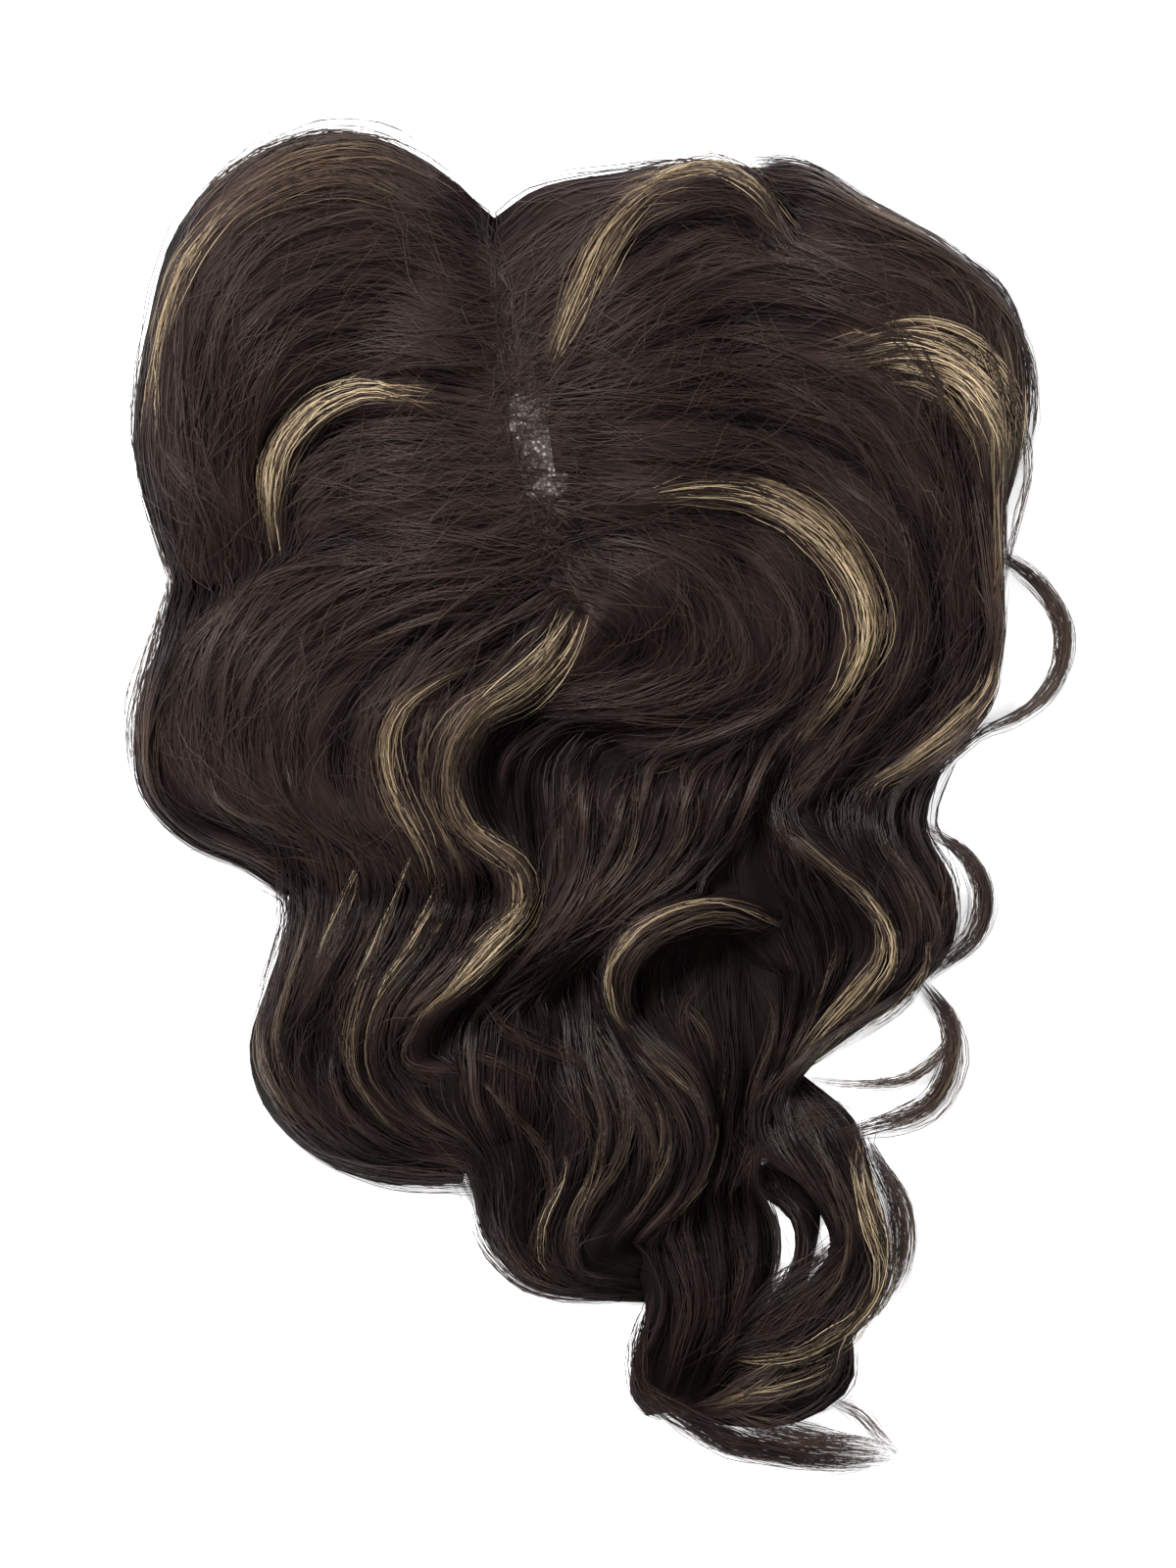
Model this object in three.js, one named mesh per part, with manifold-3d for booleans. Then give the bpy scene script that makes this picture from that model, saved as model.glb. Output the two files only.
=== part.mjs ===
// A hair topper lying flat on a surface: a shallow oval lace base with four snap clips under its rim,
// and wavy hair parted at the front, fanned out round a whorl and lying in locks that taper to the tail.
// Millimetres, +Z up, +Y towards the front hairline. The origin is under the middle of the whole piece.
import * as THREE from "three";
import { mergeVertices } from "three/addons/utils/BufferGeometryUtils.js";
import Module from "manifold-3d";

// Lace base: a cap of a sphere, stretched to an oval, standing on its rim
const BASE = { x: -18, y: 106, width: 127, length: 140, rise: 26, wall: 1.2, arcSteps: 7, roundSteps: 36 };

// Snap clips: spring plates that follow the inside of the base, with a U-shaped slot round the tongue
const CLIP = { length: 30, depth: 12, corner: 4, cornerSteps: 3, plate: 1.2, seat: 0.3, inset: 13 };
const SLOT = { length: 20, depth: 5, width: 1.4 };
const CLIP_TURNS = { clip_right: 0, clip_front: 90, clip_left: 180, clip_back: 270 };

// Hair locks: how finely they are made, how full they lie, and how far they stay from each other
const LOCK = { step: 12.2, fewestSteps: 4, across: 4, bulge: 0.7, loft: 1.2, gap: 0.5, smallest: 0.12 };
const CUTTER = { top: 90, below: 6, axis: 20 };
const WELD = 1e-3;

// Shares of a lock's length: how far apart its heading and its length are taken, and what counts as its end
const SAMPLE = { heading: 0.02, length: 0.05, end: 1e-6 };

const LOOKS = {
  brown: { color: 0x4b403c, roughness: 0.5, metalness: 0 },
  blond: { color: 0x98805f, roughness: 0.5, metalness: 0 },
  lace: { color: 0xb6a698, roughness: 0.8, metalness: 0 },
  clip: { color: 0x3a302b, roughness: 0.4, metalness: 0.8 },
};

// The locks, the uppermost first: each lock gives way to the ones above it in the list.
// edgeA and edgeB are the height of the lock's two edges as a share of its crown height.
// A row is one section from root to tip: rail A x, y, rail B x, y, and the crown height over what is below.
const LOCKS = [
  { name: "ringlet", colour: "blond", edgeA: 0.55, edgeB: 0.45, rows: [
    [58, -35, 54, -42, 10],
    [40, -29, 40, -41, 16],
    [18, -31, 25, -43, 18],
    [3, -43, 12, -51, 18],
    [-1, -60, 9, -62, 17],
    [8, -76, 17, -72, 16],
    [20, -89, 31, -85, 16],
    [27, -106, 36, -103, 14],
    [21, -121, 30, -122, 11],
    [9, -132, 15, -137, 7],
  ] },
  { name: "centre_left_lock", colour: "blond", edgeA: 0.6, edgeB: 0.5, rows: [
    [-18, 62, -8, 58, 7],
    [-31, 44, -16, 36, 15],
    [-47, 29, -33, 24, 19],
    [-53, 10, -40, 10, 19],
    [-48, -8, -35, -8, 18],
    [-33, -21, -22, -20, 17],
    [-32, -35, -19, -32, 17],
    [-50, -53, -35, -55, 16],
    [-64, -69, -51, -70, 14],
    [-62, -84, -52, -79, 11],
    [-40, -85, -40, -79, 7],
  ] },
  { name: "left_wave", colour: "brown", edgeA: 0.6, edgeB: 0.75, rows: [
    [-14, 83, -13, 66, 6],
    [-52, 80, -43, 56, 13],
    [-86, 77, -66, 41, 19],
    [-110, 65, -77, 29, 23],
    [-127, 45, -83, 18, 25],
    [-133, 22, -83, 8, 24],
    [-127, 1, -79, -3, 21],
    [-110, -11, -72, -11, 18],
    [-95, -18, -62, -18, 15],
    [-88, -27, -60, -27, 12],
  ] },
  { name: "left_inner", colour: "brown", edgeA: 0.7, edgeB: 0.6, rows: [
    [-14, 67, -16, 59, 6],
    [-44, 57, -31, 44, 12],
    [-67, 42, -44, 29, 17],
    [-82, 24, -48, 18, 18],
    [-86, 8, -48, 8, 18],
    [-81, -6, -45, -4, 17],
    [-70, -18, -36, -14, 15],
    [-61, -28, -32, -26, 13],
  ] },
  { name: "lower_left_inner", colour: "brown", edgeA: 0.7, edgeB: 0.5, rows: [
    [-64, -24, -30, -25, 10],
    [-70, -41, -38, -44, 14],
    [-80, -61, -55, -62, 14],
    [-82, -81, -60, -78, 13],
    [-74, -96, -56, -87, 11],
    [-58, -106, -50, -96, 9],
    [-42, -109, -42, -100, 6],
  ] },
  { name: "lower_left_outer", colour: "brown", edgeA: 0.15, edgeB: 0.7, rows: [
    [-98, -22, -62, -20, 10],
    [-97, -37, -68, -38, 14],
    [-103, -56, -77, -57, 15],
    [-109, -76, -82, -74, 15],
    [-105, -93, -78, -91, 14],
    [-90, -109, -66, -103, 12],
    [-68, -118, -54, -108, 9],
    [-43, -118, -41, -110, 6],
  ] },
  { name: "centre_swirl", colour: "brown", edgeA: 0.6, edgeB: 0.8, rows: [
    [-14, 83, -12, 68, 6],
    [14, 84, -8, 62, 12],
    [40, 74, -5, 57, 17],
    [55, 54, -5, 52, 19],
    [53, 34, -7, 48, 18],
    [30, 23, -10, 44, 15],
    [2, 22, -14, 39, 12],
    [-24, 25, -20, 33, 8],
  ] },
  { name: "right_blond_lock", colour: "blond", edgeA: 0.6, edgeB: 0.6, rows: [
    [-11, 103, -12, 86, 5],
    [14, 101, 14, 86, 11],
    [48, 98, 45, 85, 15],
    [72, 85, 62, 74, 18],
    [85, 64, 70, 58, 19],
    [84, 43, 69, 43, 18],
    [72, 27, 61, 29, 15],
    [58, 9, 50, 13, 9],
  ] },
  { name: "right_inner_lock", colour: "brown", edgeA: 0.7, edgeB: 0.6, rows: [
    [-13, 87, -14, 81, 5],
    [16, 88, 16, 80, 9],
    [47, 86, 42, 70, 14],
    [66, 71, 50, 56, 16],
    [71, 50, 52, 42, 16],
    [62, 29, 44, 34, 13],
    [40, 15, 24, 28, 10],
    [8, 5, -6, 23, 6],
  ] },
  { name: "right_wave", colour: "brown", edgeA: 0.6, edgeB: 0.7, rows: [
    [-13, 116, -11, 102, 5],
    [16, 116, 14, 100, 11],
    [62, 110, 48, 96, 16],
    [91, 89, 73, 80, 19],
    [102, 60, 84, 57, 19],
    [97, 34, 78, 36, 17],
    [80, 14, 65, 20, 13],
    [62, -5, 52, 0, 8],
  ] },
  { name: "front_right_roll", colour: "blond", edgeA: 0.15, edgeB: 0.6, rows: [
    [-34, 179, -27, 134, 5],
    [-20, 188, -4, 155, 11],
    [4, 192, 10, 169, 16],
    [30, 195, 28, 176, 18],
    [48, 191, 40, 174, 16],
    [60, 175, 50, 167, 11],
    [66, 164, 58, 159, 7],
  ] },
  { name: "right_edge_lock", colour: "blond", edgeA: 0.3, edgeB: 0.6, rows: [
    [92, 142, 94, 131, 8],
    [110, 139, 105, 128, 16],
    [122, 122, 112, 114, 17],
    [123, 98, 114, 94, 15],
    [123, 72, 116, 72, 13],
    [123, 45, 117, 47, 12],
    [118, 25, 110, 30, 11],
    [102, 9, 95, 16, 10],
    [82, -2, 78, 5, 7],
  ] },
  { name: "right_crown_lobe", colour: "brown", edgeA: 0.5, edgeB: 0.7, rows: [
    [-27, 136, -22, 125, 5],
    [2, 166, 10, 138, 11],
    [34, 182, 42, 146, 16],
    [72, 174, 70, 143, 20],
    [101, 165, 87, 134, 21],
    [118, 146, 97, 124, 19],
    [122, 127, 103, 112, 15],
    [122, 112, 105, 104, 12],
  ] },
  { name: "right_mid", colour: "brown", edgeA: 0.7, edgeB: 0.6, rows: [
    [-22, 126, -13, 115, 5],
    [12, 139, 16, 112, 11],
    [46, 149, 54, 108, 16],
    [80, 143, 77, 98, 18],
    [103, 124, 88, 85, 17],
    [114, 98, 95, 71, 15],
    [118, 72, 99, 55, 13],
    [119, 47, 96, 36, 11],
    [108, 27, 84, 17, 9],
    [88, 8, 68, -3, 6],
  ] },
  { name: "front_right_edge", colour: "brown", edgeA: 0.12, edgeB: 0.5, rows: [
    [42, 196, 52, 178, 8],
    [62, 196, 64, 175, 14],
    [82, 183, 82, 170, 16],
    [108, 168, 104, 160, 15],
    [124, 155, 116, 146, 13],
    [131, 130, 121, 126, 9],
    [129, 104, 121, 104, 7],
    [124, 88, 119, 90, 5],
  ] },
  { name: "inner_left_arc", colour: "blond", edgeA: 0.7, edgeB: 0.6, rows: [
    [-28, 128, -26, 111, 5],
    [-60, 130, -58, 117, 12],
    [-85, 126, -80, 114, 17],
    [-101, 112, -92, 104, 19],
    [-106, 94, -97, 90, 17],
    [-103, 78, -96, 77, 13],
    [-101, 66, -94, 66, 9],
  ] },
  { name: "front_left_roll", colour: "brown", edgeA: 0.12, edgeB: 0.6, rows: [
    [-35, 180, -28, 127, 5],
    [-54, 196, -45, 124, 13],
    [-80, 205, -64, 126, 21],
    [-108, 197, -85, 121, 27],
    [-130, 176, -97, 108, 28],
    [-140, 143, -101, 94, 25],
    [-144, 108, -100, 80, 20],
    [-138, 83, -99, 70, 15],
    [-131, 66, -104, 58, 11],
  ] },
  { name: "left_crown", colour: "brown", edgeA: 0.7, edgeB: 0.7, rows: [
    [-26, 112, -19, 82, 5],
    [-58, 119, -48, 76, 10],
    [-82, 116, -70, 70, 14],
    [-96, 103, -82, 68, 15],
    [-100, 86, -90, 68, 12],
    [-99, 70, -92, 62, 8],
  ] },
  { name: "left_outer", colour: "brown", edgeA: 0.15, edgeB: 0.6, rows: [
    [-132, 72, -112, 62, 9],
    [-136, 50, -120, 44, 12],
    [-143, 25, -128, 20, 11],
    [-142, 2, -125, 0, 9],
    [-128, -14, -112, -8, 9],
    [-110, -22, -100, -13, 9],
    [-97, -31, -90, -19, 8],
  ] },
  { name: "right_lower_blond", colour: "blond", edgeA: 0.6, edgeB: 0.5, rows: [
    [64, 12, 46, 8, 5],
    [66, -7, 54, -13, 12],
    [82, -24, 71, -28, 15],
    [93, -43, 80, -44, 16],
    [84, -60, 71, -60, 14],
    [70, -72, 59, -74, 11],
    [53, -92, 46, -91, 7],
  ] },
  { name: "right_turn", colour: "brown", edgeA: 0.2, edgeB: 0.6, rows: [
    [108, 11, 60, 8, 8],
    [102, -8, 60, -10, 11],
    [110, -26, 74, -30, 12],
    [109, -44, 84, -46, 12],
    [98, -57, 84, -59, 11],
    [80, -70, 70, -71, 9],
    [62, -83, 55, -84, 6],
  ] },
  { name: "centre_fall", colour: "brown", edgeA: 0.5, edgeB: 0.6, rows: [
    [-16, 14, 60, 22, 9],
    [-17, 0, 50, 3, 15],
    [-17, -16, 41, -14, 16],
    [-20, -31, 24, -29, 15],
    [-34, -51, -6, -51, 12],
    [-47, -64, -28, -68, 7],
  ] },
  { name: "tail_right", colour: "brown", edgeA: 0.2, edgeB: 0.5, rows: [
    [62, -84, 46, -92, 7],
    [78, -97, 46, -106, 11],
    [83, -112, 56, -116, 12],
    [86, -126, 66, -127, 12],
    [88, -140, 69, -138, 12],
    [84, -156, 58, -152, 11],
    [66, -169, 48, -163, 9],
    [40, -177, 34, -168, 6],
  ] },
  { name: "tail_inner", colour: "brown", edgeA: 0.5, edgeB: 0.5, rows: [
    [56, -113, 43, -119, 6],
    [63, -127, 57, -129, 8],
    [62, -141, 58, -141, 8],
    [55, -157, 49, -156, 7],
    [44, -168, 39, -165, 5],
  ] },
  { name: "lower_mid", colour: "brown", edgeA: 0.6, edgeB: 0.5, rows: [
    [12, -38, 58, -36, 5],
    [10, -62, 60, -62, 8],
    [22, -84, 57, -80, 10],
    [28, -104, 49, -100, 9],
    [26, -122, 45, -120, 8],
  ] },
  { name: "hollow_bed", colour: "brown", edgeA: 0.6, edgeB: 0.6, rows: [
    [40, 12, 74, 10, 5],
    [20, -20, 80, -24, 7],
    [30, -36, 88, -45, 7],
    [50, -54, 78, -60, 7],
    [54, -68, 64, -74, 5],
  ] },
  { name: "lower_centre", colour: "brown", edgeA: 0.6, edgeB: 0.6, rows: [
    [-16, -56, 4, -46, 5],
    [-18, -80, 18, -78, 9],
    [-14, -102, 30, -100, 12],
    [-18, -122, 28, -118, 12],
    [-22, -136, 18, -130, 10],
    [-13, -149, 8, -137, 8],
    [14, -151, 15, -140, 5],
  ] },
  { name: "lower_left_lobe", colour: "brown", edgeA: 0.15, edgeB: 0.6, rows: [
    [-48, -104, -14, -90, 6],
    [-42, -119, -12, -112, 10],
    [-37, -135, -16, -130, 10],
    [-24, -149, -13, -142, 8],
    [-4, -153.5, -4, -148, 6],
    [15, -154.5, 15, -150, 4],
  ] },
  { name: "lower_left_bed", colour: "brown", edgeA: 0.6, edgeB: 0.6, rows: [
    [-50, -60, -20, -54, 5],
    [-64, -80, -8, -66, 8],
    [-64, -95, -10, -86, 8],
    [-44, -114, -15, -106, 6],
  ] },
  { name: "centre_hollow", colour: "brown", edgeA: 0.6, edgeB: 0.6, rows: [
    [-24, 34, 10, 26, 5],
    [-46, 14, -6, 10, 6],
    [-42, -8, -8, -10, 7],
    [-24, -28, -12, -30, 6],
  ] },
  { name: "tail_mid", colour: "brown", edgeA: 0.2, edgeB: 0.4, rows: [
    [4, -126, 49, -115, 7],
    [8, -142, 54, -138, 9],
    [12, -157, 50, -155, 10],
    [8, -173, 42, -172, 9],
    [7.5, -182, 36, -182, 7],
    [13, -189, 25, -187, 5],
  ] },
  { name: "tail_tip", colour: "blond", edgeA: 0.2, edgeB: 0.6, rows: [
    [78, -163, 60, -164, 7],
    [79, -180, 48, -172, 9],
    [62, -192, 38, -178, 8],
    [40, -193, 32, -182, 6],
    [26, -189, 25, -184, 4],
  ] },
  { name: "bottom_wisp", colour: "brown", edgeA: 0.4, edgeB: 0.4, rows: [
    [27, -190, 33, -188, 4],
    [36, -198, 42, -192, 4.5],
    [58, -203, 61, -192, 4],
    [78, -205.5, 79, -192, 3],
    [92, -202, 91, -198, 2.5],
  ] },
];

// Loose wisps that stand out from the right edge. A row is the centre x, y, the width and the height.
const WISPS = [
  { name: "wisp_upper_right", rows: [
    [121, 75, 3, 3],
    [133, 66.5, 4, 3],
    [141, 52, 4, 3],
    [138, 35, 4, 3],
    [126, 24.5, 4, 3],
    [114, 20, 3, 3],
  ] },
  { name: "wisp_mid_right", rows: [
    [101, -11, 3, 3],
    [113, -19, 4, 3],
    [118, -32, 4, 3],
    [113, -45, 4, 3],
    [103, -51, 3, 3],
  ] },
  { name: "wisp_low_right", rows: [
    [97, -56, 3, 3],
    [107, -69, 4, 3],
    [104, -87, 4, 3],
    [93, -98, 4, 3],
    [80, -101, 3, 3],
  ] },
  { name: "wisp_tail_right", rows: [
    [82, -111, 4, 3],
    [91, -124, 6, 4],
    [92, -140, 6, 4],
    [85, -157, 4, 3],
  ] },
];
const WISP_EDGE = 0.5;

const wasm = await Module();
wasm.setup();

const rimRadius = BASE.width / 2;
const capRadius = (rimRadius ** 2 + BASE.rise ** 2) / (2 * BASE.rise);
const capDepth = capRadius - BASE.rise;
const stretch = BASE.length / BASE.width;

// Closed solid of a geometry whose shared corners are merged
function toSolid(geometry) {
  geometry.deleteAttribute("normal");
  geometry.deleteAttribute("uv");
  const merged = mergeVertices(geometry, WELD);
  const corners = [];
  for (let i = 0; i < merged.index.count; i += 3) {
    const face = [0, 1, 2].map((k) => merged.index.getX(i + k));
    if (new Set(face).size === 3) corners.push(...face);
  }
  return new wasm.Manifold(new wasm.Mesh({
    numProp: 3,
    vertProperties: merged.attributes.position.array,
    triVerts: new Uint32Array(corners),
  }));
}

// Mesh of a solid, of its largest body if a cut has left crumbs
function toMesh(solid, name, look) {
  const bodies = solid.decompose().sort((p, q) => q.volume() - p.volume());
  const { vertProperties, triVerts } = bodies[0].simplify(LOCK.smallest).getMesh();
  const geometry = new THREE.BufferGeometry();
  geometry.setAttribute("position", new THREE.BufferAttribute(vertProperties, 3));
  geometry.setIndex(new THREE.BufferAttribute(triVerts, 1));
  geometry.computeVertexNormals();
  const mesh = new THREE.Mesh(geometry, new THREE.MeshStandardMaterial(look));
  mesh.name = name;
  return mesh;
}

// Filled cap of the base, grown outwards or shrunk inwards by an offset, reaching down below its rim
function capSolid(offset, below) {
  const radius = capRadius + offset;
  const rimAngle = Math.asin(capDepth / radius);
  const profile = [new THREE.Vector2(0, -below)];
  if (below > 0) profile.push(new THREE.Vector2(radius * Math.cos(rimAngle), -below));
  for (let i = 0; i < BASE.arcSteps; i++) {
    const angle = THREE.MathUtils.lerp(rimAngle, Math.PI / 2, i / BASE.arcSteps);
    profile.push(new THREE.Vector2(radius * Math.cos(angle), radius * Math.sin(angle) - capDepth));
  }
  profile.push(new THREE.Vector2(0, radius - capDepth));
  const cap = new THREE.LatheGeometry(profile, BASE.roundSteps);
  cap.rotateX(Math.PI / 2);
  cap.scale(1, stretch, 1);
  cap.translate(BASE.x, BASE.y, 0);
  return toSolid(cap);
}

// Height of the base's outer face at a place, and zero beyond its rim
function baseHeight(x, y) {
  const reach = Math.hypot(x - BASE.x, (y - BASE.y) / stretch);
  return reach < rimRadius ? Math.sqrt(capRadius ** 2 - reach ** 2) - capDepth : 0;
}

// Plate outline of a clip: a rounded bar with a U-shaped slot
function clipOutline() {
  const halfLength = CLIP.length / 2;
  const halfDepth = CLIP.depth / 2;
  const outline = new THREE.Shape();
  outline.moveTo(-halfLength + CLIP.corner, -halfDepth);
  outline.absarc(halfLength - CLIP.corner, -halfDepth + CLIP.corner, CLIP.corner, -Math.PI / 2, 0);
  outline.absarc(halfLength - CLIP.corner, halfDepth - CLIP.corner, CLIP.corner, 0, Math.PI / 2);
  outline.absarc(-halfLength + CLIP.corner, halfDepth - CLIP.corner, CLIP.corner, Math.PI / 2, Math.PI);
  outline.absarc(-halfLength + CLIP.corner, -halfDepth + CLIP.corner, CLIP.corner, Math.PI, Math.PI * 1.5);
  const left = -SLOT.length / 2;
  const right = SLOT.length / 2;
  const low = -SLOT.depth / 2;
  const high = SLOT.depth / 2;
  const slot = [
    [left, low], [right, low], [right, high], [left, high], [left, high - SLOT.width],
    [right - SLOT.width, high - SLOT.width], [right - SLOT.width, low + SLOT.width], [left, low + SLOT.width],
  ];
  outline.holes.push(new THREE.Path(slot.map(([x, y]) => new THREE.Vector2(x, y))));
  return outline;
}

// One clip, cut from a thin shell just inside the base, at a turn round the rim
function clipSolid(turn) {
  const outer = -BASE.wall - CLIP.seat;
  const shell = capSolid(outer, 0).subtract(capSolid(outer - CLIP.plate, CUTTER.below));
  const azimuth = THREE.MathUtils.degToRad(turn);
  const reach = rimRadius - CLIP.inset;
  const height = Math.sqrt(capRadius ** 2 - reach ** 2);
  const plate = new THREE.ExtrudeGeometry(clipOutline(), {
    depth: CUTTER.axis,
    bevelEnabled: false,
    curveSegments: CLIP.cornerSteps,
  });
  plate.translate(0, 0, -CUTTER.axis / 2);
  plate.rotateZ(-Math.PI / 2);
  plate.rotateY(Math.atan2(reach, height));
  plate.rotateZ(azimuth);
  plate.translate(
    BASE.x + reach * Math.cos(azimuth),
    BASE.y + reach * Math.sin(azimuth) * stretch,
    height - capDepth,
  );
  return shell.intersect(toSolid(plate));
}

// Smooth curve through a column pair of the rows
function railCurve(points) {
  return new THREE.CatmullRomCurve3(points.map(([x, y]) => new THREE.Vector3(x, y, 0)), false, "centripetal");
}

// Rails and crown height of a lock, as functions of the share of the way from root to tip
function lockRails(rows) {
  const railA = railCurve(rows.map(([ax, ay]) => [ax, ay]));
  const railB = railCurve(rows.map(([, , bx, by]) => [bx, by]));
  const crown = railCurve(rows.map(([, , , , height], i) => [i, height]));
  return { a: (t) => railA.getPoint(t), b: (t) => railB.getPoint(t), crown: (t) => crown.getPoint(t).y };
}

// Rails of a wisp: half its width to either side of its centre line
function wispRails(rows) {
  const centre = railCurve(rows);
  const size = railCurve(rows.map(([, , width, height]) => [width, height]));
  const rail = (side) => (t) => {
    const { x, y } = centre.getTangent(t);
    return centre.getPoint(t).addScaledVector(new THREE.Vector3(-y, x, 0), side * size.getPoint(t).x / 2);
  };
  return { a: rail(1), b: rail(-1), crown: (t) => size.getPoint(t).y };
}

// Box bent along a lock's rails: grow widens its plan, and height gives its top from s, t, x and y
function bentBox(rails, grow, floor, height) {
  const middle = (t) => rails.a(t).add(rails.b(t)).divideScalar(2);
  const heading = (t) => {
    const before = middle(Math.max(t - SAMPLE.heading, 0));
    return middle(Math.min(t + SAMPLE.heading, 1)).sub(before).normalize();
  };
  const ahead = heading(0.5);
  const across = rails.b(0.5).sub(rails.a(0.5));
  const mirrored = across.x * ahead.y - across.y * ahead.x < 0;
  let length = 0;
  for (let t = SAMPLE.length; t < 1 + SAMPLE.end; t += SAMPLE.length) {
    length += middle(t - SAMPLE.length).distanceTo(middle(Math.min(t, 1)));
  }
  const steps = Math.max(LOCK.fewestSteps, Math.round(length / LOCK.step));
  const box = new THREE.BoxGeometry(1, 1, 1, LOCK.across, steps, 1);
  const corners = box.attributes.position;
  for (let i = 0; i < corners.count; i++) {
    const s = mirrored ? 0.5 - corners.getX(i) : 0.5 + corners.getX(i);
    const t = corners.getY(i) + 0.5;
    const a = rails.a(t);
    const b = rails.b(t);
    const side = b.clone().sub(a).normalize();
    const place = a.addScaledVector(side, -grow).lerp(b.addScaledVector(side, grow), s);
    if (t < SAMPLE.end) place.addScaledVector(heading(0), -grow);
    if (t > 1 - SAMPLE.end) place.addScaledVector(heading(1), grow);
    const z = corners.getZ(i) > 0 ? height(s, t, place.x, place.y) : floor;
    corners.setXYZ(i, place.x, place.y, z);
  }
  return toSolid(box);
}

// Lock with its crowned top, standing on the surface
function lockSolid({ rails, edgeA, edgeB }) {
  return bentBox(rails, 0, 0, (s, t, x, y) => {
    const edge = THREE.MathUtils.lerp(edgeA, edgeB, s);
    const bulge = Math.pow(4 * s * (1 - s), LOCK.bulge);
    return baseHeight(x, y) + LOCK.loft * rails.crown(t) * THREE.MathUtils.lerp(edge, 1, bulge);
  });
}

const topper = new THREE.Group();

const baseShell = capSolid(0, 0).subtract(capSolid(-BASE.wall, CUTTER.below));
topper.add(toMesh(baseShell, "lace_base", LOOKS.lace));
for (const [name, turn] of Object.entries(CLIP_TURNS)) topper.add(toMesh(clipSolid(turn), name, LOOKS.clip));

const hair = [
  ...LOCKS.map((lock) => ({ ...lock, rails: lockRails(lock.rows) })),
  ...WISPS.map(({ name, rows }) => (
    { name, colour: "brown", edgeA: WISP_EDGE, edgeB: WISP_EDGE, rails: wispRails(rows) })),
];
let taken = capSolid(LOCK.gap, CUTTER.below);
for (const lock of hair) {
  const solid = lockSolid(lock).subtract(taken);
  topper.add(toMesh(solid, lock.name, LOOKS[lock.colour]));
  taken = taken.add(bentBox(lock.rails, LOCK.gap, -CUTTER.below, () => CUTTER.top));
}

// The middle of the whole piece comes to the origin, and the surface it lies on is at zero
const bounds = new THREE.Box3().setFromObject(topper);
topper.position.set(-(bounds.min.x + bounds.max.x) / 2, -(bounds.min.y + bounds.max.y) / 2, -bounds.min.z);

export default topper;
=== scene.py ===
"""Looks of a hair topper: lace base, snap clips and combed wavy hair with blond streaks, on a pale floor."""

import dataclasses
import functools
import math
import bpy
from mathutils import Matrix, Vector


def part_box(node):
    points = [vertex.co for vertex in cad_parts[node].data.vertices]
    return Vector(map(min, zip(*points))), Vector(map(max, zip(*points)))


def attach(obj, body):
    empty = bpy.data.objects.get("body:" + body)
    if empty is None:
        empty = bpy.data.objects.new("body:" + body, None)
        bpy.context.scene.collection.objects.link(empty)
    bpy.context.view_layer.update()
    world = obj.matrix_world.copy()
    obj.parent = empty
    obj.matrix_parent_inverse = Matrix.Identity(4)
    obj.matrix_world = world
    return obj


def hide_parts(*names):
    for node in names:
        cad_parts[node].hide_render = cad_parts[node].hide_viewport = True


bl_info = {
    "name": "Hair Topper",
    "version": (1, 0, 0),
    "blender": (4, 5, 0),
    "location": "View3D > Sidebar > Topper",
    "description": "Builds the lace base, the clips and the combed hair of a hair topper",
    "category": "Object",
}

from typing import NamedTuple

import bmesh
import bpy
import numpy as np
from bpy.props import FloatProperty, FloatVectorProperty, IntProperty, PointerProperty
from bpy.types import Operator, Panel, PropertyGroup
from mathutils import Matrix, Vector

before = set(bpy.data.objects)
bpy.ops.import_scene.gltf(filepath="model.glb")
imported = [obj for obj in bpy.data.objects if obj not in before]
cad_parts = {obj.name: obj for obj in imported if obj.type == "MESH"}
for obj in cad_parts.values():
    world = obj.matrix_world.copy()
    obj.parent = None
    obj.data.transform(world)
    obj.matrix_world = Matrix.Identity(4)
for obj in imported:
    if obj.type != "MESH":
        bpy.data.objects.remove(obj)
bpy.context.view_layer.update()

MM = 0.001

# Lace base, in millimetres: the middle and the size of its oval, how far it rises, its wall, and how many
# steps its round has
BASE_MIDDLE = np.array((-18.0, 106.0))
BASE_WIDTH, BASE_LENGTH, BASE_RISE, BASE_WALL = 127.0, 140.0, 26.0, 1.2
RIM_RADIUS = BASE_WIDTH / 2
CAP_RADIUS = (RIM_RADIUS**2 + BASE_RISE**2) / (2 * BASE_RISE)
CAP_DEPTH = CAP_RADIUS - BASE_RISE
STRETCH = BASE_LENGTH / BASE_WIDTH
NET_STEPS = 96

# Height of the hair over its tabled height, and the power that rounds a lock across its width
LOFT = 1.2
BULGE = 0.7

# The tables below are in millimetres from the middle of the picture, and this moves them to the frame
BASE_LOW, BASE_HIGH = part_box("lace_base")
TABLE_SHIFT = (np.array(BASE_LOW[:2]) + np.array(BASE_HIGH[:2])) / (2 * MM) - BASE_MIDDLE

# The bare place in the parting where the lace shows: its middle, its half width and half length, how far it
# leans, over which reach it fades, and how far round it hairs are tied in that fall over its edge
BARE_MIDDLE = np.array((-20.0, 107.0))
BARE_HALF = np.array((4.6, 17.0))
BARE_LEAN = 0.2
BARE_FADE = 0.55, 1.25
TIED_REACH = 2.2

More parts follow.
